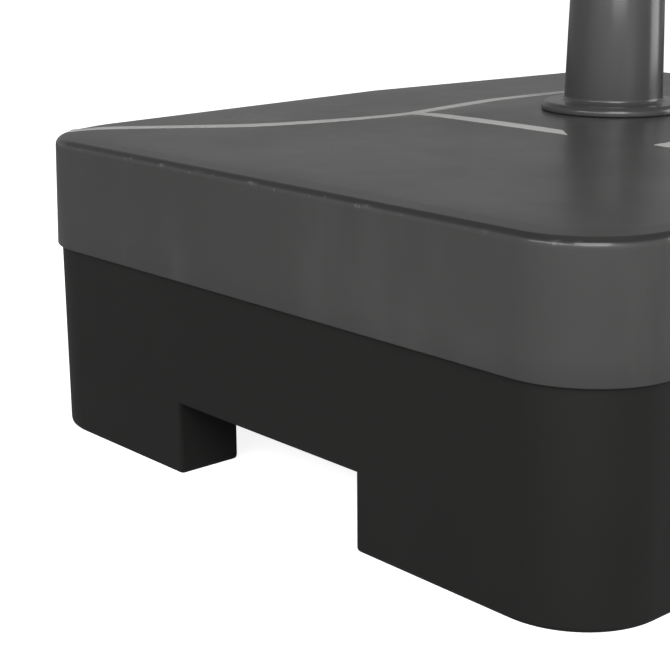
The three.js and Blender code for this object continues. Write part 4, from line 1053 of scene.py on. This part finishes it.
def build_fill_cap():
    low, high, middle = box_of("fill_cap")
    centre = Vector((middle.x, middle.y, 0))
    outer = (high.x - low.x) / 2
    top = high.z - 7 * MM
    ribs = 30
    rings = []
    for radius, z in ((27 * MM, low.z), (outer - 0.6 * MM, low.z), (outer, low.z + 0.6 * MM), (outer, top - 3 * MM),
                      (outer - 0.9 * MM, top - 0.9 * MM), (outer - 3 * MM, top), (outer - 6 * MM, top),
                      (outer - 7 * MM, top - 0.8 * MM), (5 * MM, top - 0.8 * MM)):
        ring = []
        for i in range(ribs * 6):
            angle = 2 * math.pi * i / (ribs * 6)
            ribbed = outer - 1.5 * MM < radius
            cut_in = 0.9 * MM * smooth_step(2 * abs((i % 6) / 6 - 0.5)) if ribbed else 0
            r = radius - cut_in
            ring.append(centre + Vector((r * math.cos(angle), r * math.sin(angle), z)))
        rings.append(ring)
    shell = Shell()
    shell.rings(rings)
    bar = Shell()
    add_block(bar, centre + Z * (top + 2.5 * MM), X * 25 * MM, Y * 4 * MM, Z * 4.5 * MM)
    cap = combined(shell.mesh("cap"), [bar.mesh("bar")], "UNION")
    as_piece(cap, "fill_cap_shell", "fill_cap", "black_plastic", ["fill_cap"], bevel=1.1 * MM, smooth=50)


def build_drain_plug():
    low, high, middle = box_of("drain_plug")
    centre = Vector((middle.x, 0, middle.z))
    outer = (high.x - low.x) / 2
    face = high.y - 5.5 * MM
    profile = [(8 * MM, low.y), (8 * MM, face), (outer - 0.4 * MM, face), (outer, face + 0.4 * MM)]
    profile += [(outer, high.y - 2 * MM), (outer - 0.6 * MM, high.y - 0.6 * MM), (outer - 2 * MM, high.y)]
    shell = Shell()
    revolve(shell, profile, centre, Y, 60, closed=False)
    slot = Shell()
    add_block(slot, centre + Y * high.y, X * 9 * MM, Y * 2.5 * MM, Z * 1.5 * MM)
    plug = combined(shell.mesh("plug"), [slot.mesh("slot")], "DIFFERENCE")
    as_piece(plug, "drain_plug_head", "drain_plug", "black_plastic", ["drain_plug"], smooth=35)


build_wheels()
build_fill_cap()
build_drain_plug()


# ---------------------------------------------------------------- backboard

board_low, board_high, board_middle = box_of("board_trim")
panel_low, panel_high, _ = box_of("backboard")
BOARD_HALF = Vector(((board_high.x - board_low.x) / 2, (board_high.z - board_low.z) / 2))
BOARD_CORNER = 18 * MM
STRUT_X = 63.5 * MM


def upright_rect(half_x, half_z, corner, y, centre_z):
    points = []
    for quarter, (sx, sz) in enumerate(((1, 1), (-1, 1), (-1, -1), (1, -1))):
        points += arc((sx * (half_x - corner), centre_z + sz * (half_z - corner)), corner, quarter * 90, quarter * 90 + 90, 10)
    return [Vector((x, y, z)) for x, z in points]


def framed(section, half, corner, centre_z):
    """A section of (inset, y) points run round a rounded rectangle, as a closed shell."""
    shell = Shell()
    rings = []
    for inset, y in section:
        rings.append(upright_rect(half.x - inset, half.y - inset, max(corner - inset, 0.8 * MM), y, centre_z))
    shell.rings(rings, closed=True)
    return shell


def build_board():
    z = board_middle.z
    half = Vector(((panel_high.x - panel_low.x) / 2, (panel_high.z - panel_low.z) / 2))
    sheet = Shell()
    soft = 0.4 * MM
    levels = ((soft, panel_low.y), (0, panel_low.y + soft), (0, panel_high.y - soft), (soft, panel_high.y))
    sheet.rings([upright_rect(half.x - i, half.y - i, 14.7 * MM, y, z) for i, y in levels])
    sheet.finish("backboard_sheet", "mast", "clear_sheet", ["backboard"], smooth=30)
    front, rear = board_low.y, board_high.y
    section = [(0, front + 1.6 * MM), (0.5 * MM, front + 0.5 * MM), (1.6 * MM, front), (12.4 * MM, front)]
    section += [(13.6 * MM, front + 0.6 * MM), (14 * MM, front + 3 * MM), (3 * MM, front + 3 * MM)]
    section += [(3 * MM, rear), (0.6 * MM, rear), (0, rear - 0.6 * MM)]
    framed(section, BOARD_HALF, BOARD_CORNER, z).finish("board_trim_edge", "mast", "black_plastic", ["board_trim"])


def printed_band(name, half, width, centre_z):
    face = panel_low.y
    section = [(0, face - 0.12 * MM), (width, face - 0.12 * MM), (width, face + 0.05 * MM), (0, face + 0.05 * MM)]
    framed(section, half, 3 * MM, centre_z).finish(name, "mast", "black_plastic", smooth=30, material=BOARD_INK)


def build_board_print():
    printed_band("board_border_line", Vector((BOARD_HALF.x - 24 * MM, BOARD_HALF.y - 24 * MM)), 13 * MM, board_middle.z)
    low = 2322 * MM
    high = low + 262 * MM
    printed_band("board_target_line", Vector((190 * MM, (high - low) / 2)), 13 * MM, (low + high) / 2)


build_board()
build_board_print()


# ---------------------------------------------------------------- sheet-steel parts kept from the CAD

def soften(node, width):
    """Rounds a CAD part's sharp edges with modifiers, leaving its mesh as it is."""
    piece = frame["nodes"][node]
    weld = piece.modifiers.new("weld", "WELD")
    weld.merge_threshold = 1e-5
    rounding = piece.modifiers.new("edge_rounding", "BEVEL")
    rounding.width = width
    rounding.segments = 2
    rounding.limit_method = "ANGLE"
    rounding.angle_limit = math.radians(35)


for steel_node in ("board_frame", "head_bracket", "rim_mount"):
    soften(steel_node, 0.7 * MM)


# ---------------------------------------------------------------- rim

rim_low, rim_high, _ = box_of("rim")
ROD = 8 * MM
RING_R = 233 * MM
RING_CENTRE = Vector((0, -583 * MM, rim_high.z - ROD))
HOOKS = 12
PIVOT = Vector((0, -312 * MM, 2262 * MM))
PLATE_LOW, PLATE_HIGH = 2284 * MM, 2290 * MM
SPRING_X, SPRING_Y = 22 * MM, -278 * MM
SPRING_LOW, SPRING_HIGH = 2220 * MM, 2258 * MM


def ring_point(angle, radius=RING_R, z=0.0):
    return RING_CENTRE + Vector((radius * math.cos(angle), radius * math.sin(angle), z))


def build_rim():
    shell = Shell()
    path = [ring_point(2 * math.pi * i / 144) for i in range(144)]
    sweep(shell, path, ROD, 24, closed=True)
    shell.finish("rim_ring", "rim", "rim_steel", ["rim"])
    hooks = Shell()
    for i in range(HOOKS):
        angle = 2 * math.pi * (i + 0.5) / HOOKS
        along = Vector((-math.sin(angle), math.cos(angle), 0))
        top = ring_point(angle, z=-ROD + 1.5 * MM)
        bend = []
        for x, z in [(-7.6 * MM, 2 * MM), *arc((0, -3.2 * MM), 7 * MM, 180, 360, 14), (7.6 * MM, 2 * MM)]:
            bend.append(top + along * x + Z * z)
        sweep(hooks, bend, 2 * MM, 12)
    hooks.finish("rim_net_hooks", "rim", "rim_steel")


def build_rim_plate():
    rear = -249.3 * MM
    front = RING_CENTRE.y + 222 * MM
    outline = [(-62 * MM, rear), (62 * MM, rear), (78 * MM, front), (-78 * MM, front)]
    plate = prism(flat(outline), PLATE_LOW, PLATE_HIGH)
    holes = [rod_mesh("hole", Vector((x, SPRING_Y, 0)), 4.4 * MM, 2.2, 2.4, Z) for x in (-SPRING_X, SPRING_X)]
    mesh = combined(plate.mesh("plate"), holes, "DIFFERENCE")
    as_piece(mesh, "rim_plate", "rim", "rim_steel", bevel=1.2 * MM)
    lip = Shell()
    outline = [(-62 * MM, rear + 4 * MM), (62 * MM, rear + 4 * MM), (62 * MM, rear), (-62 * MM, rear)]
    ears = Shell()
    for side in (-1, 1):
        profile = [Vector((0, PIVOT.y + 10 * MM, PLATE_LOW + 1 * MM)), Vector((0, PIVOT.y - 10 * MM, PLATE_LOW + 1 * MM))]
        profile += [Vector((0, y, z)) for y, z in arc((PIVOT.y, PIVOT.z), 10 * MM, 180, 360, 16)]
        ears.rings([[p + X * side * 44 * MM for p in profile], [p + X * side * 48 * MM for p in profile]])
    ears.finish("rim_hinge_ears", "rim", "rim_steel", bevel=0.6 * MM)


def build_rim_braces():
    for label, side in (("left", -1), ("right", 1)):
        reach = math.radians(50)
        start = Vector((side * 62 * MM, -271.3 * MM, RING_CENTRE.z - 2 * MM))
        middle = Vector((side * 120 * MM, -299.3 * MM, RING_CENTRE.z - 1 * MM))
        end = RING_CENTRE + Vector((side * RING_R * math.sin(reach), RING_R * math.cos(reach), 0))
        path = [start * (1 - t) ** 2 + middle * 2 * t * (1 - t) + end * t * t for t in [i / 24 for i in range(25)]]
        shell = Shell()
        sweep(shell, path, 5 * MM, 18)
        shell.finish(f"rim_brace_{label}", "rim", "rim_steel")


def weld_bead(name, body, points, size, slot, seed):
    """A weld: a bar of overlapping ripples along a line of points."""
    dice = random.Random(seed)
    path = []
    for a, b in zip(points, points[1:]):
        steps = max(2, int((b - a).length / (0.9 * MM)))
        path += [lerp(a, b, i / steps) for i in range(steps)]
    path.append(points[-1])
    last = len(path) - 1
    swell = [size * (0.78 + 0.22 * abs(math.sin(i * 1.25)) + dice.uniform(-0.04, 0.04)) for i in range(last + 1)]
    swell[0] = swell[-1] = size * 0.4
    shell = Shell()
    sweep(shell, path, lambda t: swell[round(t * last)], 10)
    shell.finish(name, body, slot, smooth=60)


def build_rim_welds():
    front = RING_CENTRE.y + 222 * MM
    spread = math.asin(74 * MM / RING_R)
    under = [ring_point(math.pi / 2 + spread * t, RING_R - 1 * MM, -ROD + 0.8 * MM) for t in
             [-1 + i / 12 for i in range(25)]]
    weld_bead("rim_plate_weld", "rim", under, 2.6 * MM, "rim_steel", 1)
    for label, side in (("left", -1), ("right", 1)):
        start = Vector((side * 63 * MM, -262 * MM, PLATE_HIGH + 0.5 * MM))
        end = Vector((side * 66 * MM, -282 * MM, PLATE_HIGH + 0.5 * MM))
        weld_bead(f"rim_brace_weld_{label}", "rim", [start, end], 2.4 * MM, "rim_steel", 5 + side)


def build_hinge_pin():
    low, high, _ = box_of("rim_hinge_pin")
    shell = Shell()
    half = high.x
    profile = [(6.4 * MM, -half), (7 * MM, -half + 1 * MM), (7 * MM, -half + 4.2 * MM), (4 * MM, -half + 4.6 * MM)]
    profile += [(r, -x) for r, x in reversed(profile)]
    revolve(shell, profile, PIVOT, X, 40, closed=False)
    shell.finish("rim_hinge_pin_rod", "mast", "zinc", ["rim_hinge_pin"], smooth=30)


def build_breakaway():
    for label, side in (("left", -1), ("right", 1)):
        bolt = f"breakaway_bolt_{label}"
        low, high, _ = box_of(bolt)
        origin = Vector((side * SPRING_X, SPRING_Y, 0))
        shell = Shell()
        face = PLATE_HIGH + 0.3 * MM
        disc(shell, origin, Z, 9.2 * MM, face, face + 1.4 * MM)
        hexagon(shell, origin, Z, 7.4 * MM, face + 1.2 * MM, high.z)
        threaded(shell, origin, Z, 4 * MM, face + 0.5 * MM, low.z, SPRING_LOW + 10 * MM)
        shell.finish(f"{bolt}_screw", "rim", "zinc", [bolt], smooth=25)
        nut = f"breakaway_nut_{label}"
        low, high, _ = box_of(nut)
        shell = Shell()
        disc(shell, origin, Z, 12 * MM, high.z, high.z - 2 * MM, 4.1 * MM)
        hexagon(shell, origin, Z, 7.4 * MM, high.z - 1.9 * MM, low.z, 4.1 * MM)
        shell.finish(f"{nut}_hex", "rim", "zinc", [nut], smooth=25)
        build_spring(label, side)


def build_spring(label, side):
    """A coil with closed, flattened ends, its top on the shelf."""
    wire = 1.6 * MM
    low, high = SPRING_LOW + wire + 0.2 * MM, SPRING_HIGH - wire - 0.2 * MM
    turns, dead = 6.5, 1.0
    path = []
    steps = 300
    for i in range(steps + 1):
        turn = turns * i / steps
        share = (turn - dead) / (turns - 2 * dead)
        dead_rise = 2.1 * wire
        if turn < dead:
            z = low + dead_rise * turn / dead
        elif turn > turns - dead:
            z = high - dead_rise * (turns - turn) / dead
        else:
            z = lerp(low + dead_rise, high - dead_rise, share)
        angle = 2 * math.pi * turn
        path.append(Vector((side * SPRING_X + 8.5 * MM * math.cos(angle), SPRING_Y + 8.5 * MM * math.sin(angle), z)))
    shell = Shell()
    sweep(shell, path, wire, 12)
    piece = shell.finish(f"breakaway_spring_{label}_coil", None, "spring_steel", [f"breakaway_spring_{label}"])
    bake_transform(piece)


build_rim()
build_rim_plate()
build_rim_braces()
build_rim_welds()
build_hinge_pin()
build_breakaway()


# ---------------------------------------------------------------- net

NET_ROWS = 8
NET_TOP = RING_CENTRE.z - 30 * MM
NET_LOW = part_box("net")[0].z + 4 * MM
CORD = 2.3 * MM


def net_radius(share):
    """The net's radius from its top (0) to its foot (1): a funnel that hangs straight lower down."""
    return lerp(120 * MM, 231 * MM, (1 - share) ** 1.75) + 4 * MM * share


def net_node(row, column):
    share = row / (NET_ROWS - 1)
    drop = 1 - (1 - share) ** 1.0
    angle = 2 * math.pi * (column + 0.5) / HOOKS
    dice = random.Random(row * 97 + round(column * 2) % (2 * HOOKS) * 13)
    angle += dice.uniform(-0.018, 0.018) * min(1, row)
    radius = net_radius(share) * (1 + dice.uniform(-0.02, 0.02) * min(1, row))
    z = lerp(NET_TOP, NET_LOW, drop) + dice.uniform(-3, 3) * MM * min(1, row)
    return Vector((radius * math.cos(angle), RING_CENTRE.y + radius * math.sin(angle), z))


def cord(shell, a, b, slack, seed):
    """A cord between two knots, with a little slack downwards and sideways."""
    dice = random.Random(seed)
    outward = Vector((a.x + b.x, a.y + b.y - 2 * RING_CENTRE.y, 0)).normalized()
    push = outward * dice.uniform(-2.5, 2.5) * MM - Z * slack
    path = [lerp(a, b, i / 10) + push * 4 * (i / 10) * (1 - i / 10) for i in range(11)]
    sweep(shell, path, CORD, 8)


def knot(shell, centre, seed):
    """A knot: a small twisted loop of cord drawn tight."""
    dice = random.Random(seed)
    outward = Vector((centre.x, centre.y - RING_CENTRE.y, 0)).normalized()
    side = Z.cross(outward)
    spin = dice.uniform(0, 2 * math.pi)
    path = []
    for i in range(36):
        angle = 2 * math.pi * i / 36
        big = 3.4 * MM + 1.3 * MM * math.cos(3 * angle + spin)
        path.append(centre + side * big * math.cos(2 * angle) + Z * big * 1.1 * math.sin(2 * angle)
                    + outward * 1.9 * MM * math.sin(3 * angle + spin))
    sweep(shell, path, CORD * 0.95, 8, closed=True)


def build_net():
    cords, knots = Shell(), Shell()
    for column in range(HOOKS):
        angle = 2 * math.pi * (column + 0.5) / HOOKS
        out = Vector((math.cos(angle), math.sin(angle), 0))
        top_knot = net_node(0, column)
        hook_floor = ring_point(angle, z=-ROD + 1.5 * MM - 3.2 * MM - 7 * MM + 2 * MM + CORD)
        middle = (top_knot + hook_floor) / 2
        tall = (hook_floor.z - top_knot.z) / 2
        loop = []
        for i in range(28):
            turn = 2 * math.pi * i / 28
            loop.append(middle + Z * tall * math.cos(turn) + out * 5.5 * MM * math.sin(turn))
        sweep(cords, loop, CORD, 8, closed=True)
    for row in range(NET_ROWS - 1):
        shift = row / 2
        for column in range(HOOKS):
            here = net_node(row, column + shift)
            for sign in (-1, 1):
                there = net_node(row + 1, column + shift + sign / 2)
                cord(cords, here, there, 1.5 * MM, row * 1000 + column * 10 + sign)
    for row in range(NET_ROWS):
        for column in range(HOOKS):
            knot(knots, net_node(row, column + row / 2), row * 50 + column)
    cords.finish("net_cords", "rim", "net_cord", ["net"], smooth=60)
    knots.finish("net_knots", "rim", "net_cord", smooth=60)


build_net()


# ---------------------------------------------------------------- studio

def build_floor():
    s = Shader("floor")
    mottle = s.ramp(s.noise(0.8, 3, 0.5), 0.3, 0.7)
    pale = s.mix(mottle, (0.93, 0.93, 0.93), (0.95, 0.95, 0.95))
    seen = s.node("ShaderNodeLightPath").outputs["Is Camera Ray"]
    base = s.mix(seen, (0.4, 0.4, 0.4), pale)
    glow = s.sum(seen, 0.88, "MULTIPLY")
    material = s.set(Base_Color=base, Roughness=0.9, Specular_IOR_Level=0.1, Emission_Strength=glow)
    s.surface.inputs["Emission Color"].default_value = (1, 1, 1, 1)
    size = 30
    mesh = bpy.data.meshes.new("floor")
    corners = [(-size, -size, 0), (size, -size, 0), (size, size, 0), (-size, size, 0)]
    mesh.from_pydata(corners, [], [(0, 1, 2, 3)])
    mesh.materials.append(material)
    floor = bpy.data.objects.new("floor", mesh)
    bpy.context.scene.collection.objects.link(floor)


def area_light(name, place, target, width, power, height=None):
    """A softbox of some width in metres: square, unless it has a height of its own."""
    data = bpy.data.lights.new(name, "AREA")
    data.shape = "RECTANGLE"
    data.size = width
    data.size_y = height or width
    data.energy = power
    lamp = bpy.data.objects.new(name, data)
    lamp.location = place
    lamp.rotation_mode = "QUATERNION"
    lamp.rotation_quaternion = (Vector(target) - Vector(place)).to_track_quat("-Z", "Y")
    lamp.visible_camera = False
    bpy.context.scene.collection.objects.link(lamp)


CAMERA_PLACE = Vector((0.688, -0.856, 0.350))
CAMERA_AHEAD = Vector((-0.72635, 0.63394, -0.26558))
CAMERA_UP = Vector((-0.19580, 0.17955, 0.96407))
CAMERA_LENS = 84.1


def build_camera():
    data = bpy.data.cameras.new("camera")
    data.lens = CAMERA_LENS
    data.sensor_width = 36
    data.clip_start = 0.01
    camera = bpy.data.objects.new("camera", data)
    ahead = CAMERA_AHEAD.normalized()
    right = ahead.cross(CAMERA_UP).normalized()
    up = right.cross(ahead)
    turn = Matrix((right, up, -ahead)).transposed()
    camera.matrix_world = Matrix.Translation(CAMERA_PLACE) @ turn.to_4x4()
    bpy.context.scene.collection.objects.link(camera)
    bpy.context.scene.camera = camera


FAR_GLOW = 0.43
NEAR_GLOW = 1.2
CEILING = 0.02


def build_world():
    """White to the camera; to the object, a soft studio that is brightest on the camera's side."""
    world = bpy.data.worlds.new("studio")
    world.use_nodes = True
    tree = world.node_tree
    tree.nodes.clear()
    out = tree.nodes.new("ShaderNodeOutputWorld")
    seen = tree.nodes.new("ShaderNodeBackground")
    seen.inputs[0].default_value = (1, 1, 1, 1)
    lit = tree.nodes.new("ShaderNodeBackground")
    place = tree.nodes.new("ShaderNodeTexCoord")
    toward = tree.nodes.new("ShaderNodeVectorMath")
    toward.operation = "DOT_PRODUCT"
    toward.inputs[1].default_value = Vector((0.62, -0.74, 0.1)).normalized()
    shade = tree.nodes.new("ShaderNodeMapRange")
    for key, value in (("From Min", 0.2), ("From Max", 0.95), ("To Min", FAR_GLOW), ("To Max", NEAR_GLOW)):
        shade.inputs[key].default_value = value
    height = tree.nodes.new("ShaderNodeSeparateXYZ")
    ceiling = tree.nodes.new("ShaderNodeMapRange")
    for key, value in (("From Min", 0.4), ("From Max", 0.8), ("To Min", 1.0), ("To Max", CEILING)):
        ceiling.inputs[key].default_value = value
    both = tree.nodes.new("ShaderNodeMath")
    both.operation = "MULTIPLY"
    tree.links.new(place.outputs["Generated"], toward.inputs[0])
    tree.links.new(place.outputs["Generated"], height.inputs[0])
    tree.links.new(height.outputs["Z"], ceiling.inputs["Value"])
    tree.links.new(toward.outputs["Value"], shade.inputs["Value"])
    tree.links.new(shade.outputs[0], both.inputs[0])
    tree.links.new(ceiling.outputs[0], both.inputs[1])
    tree.links.new(both.outputs[0], lit.inputs["Strength"])
    ray = tree.nodes.new("ShaderNodeLightPath")
    pick = tree.nodes.new("ShaderNodeMixShader")
    tree.links.new(ray.outputs["Is Camera Ray"], pick.inputs[0])
    tree.links.new(lit.outputs[0], pick.inputs[1])
    tree.links.new(seen.outputs[0], pick.inputs[2])
    tree.links.new(pick.outputs[0], out.inputs[0])
    bpy.context.scene.world = world


build_floor()
build_world()
area_light("overhead", (-0.6, 0.8, 4.2), (0, 0, 0.2), 3.0, 4)
area_light("key", (2.0, -2.0, 2.1), (0, 0, 0.3), 1.8, 66)
area_light("front_strip", (0.1, -3.4, 2.0), (0, 0, 0.2), 3.0, 30, height=0.5)
area_light("right", (3.2, -1.6, 2.3), (0, 0, 0.4), 1.6, 10)
area_light("low_right", (3.4, -0.9, 0.9), (0, 0, 0.3), 1.6, 3)
area_light("rear_right", (2.2, 3.2, 1.2), (0, 0, 0.6), 2.0, 45)
build_camera()
bpy.context.scene.view_settings.view_transform = "Standard"

# ---------------------------------------------------------------- view layer update

bpy.context.view_layer.update()
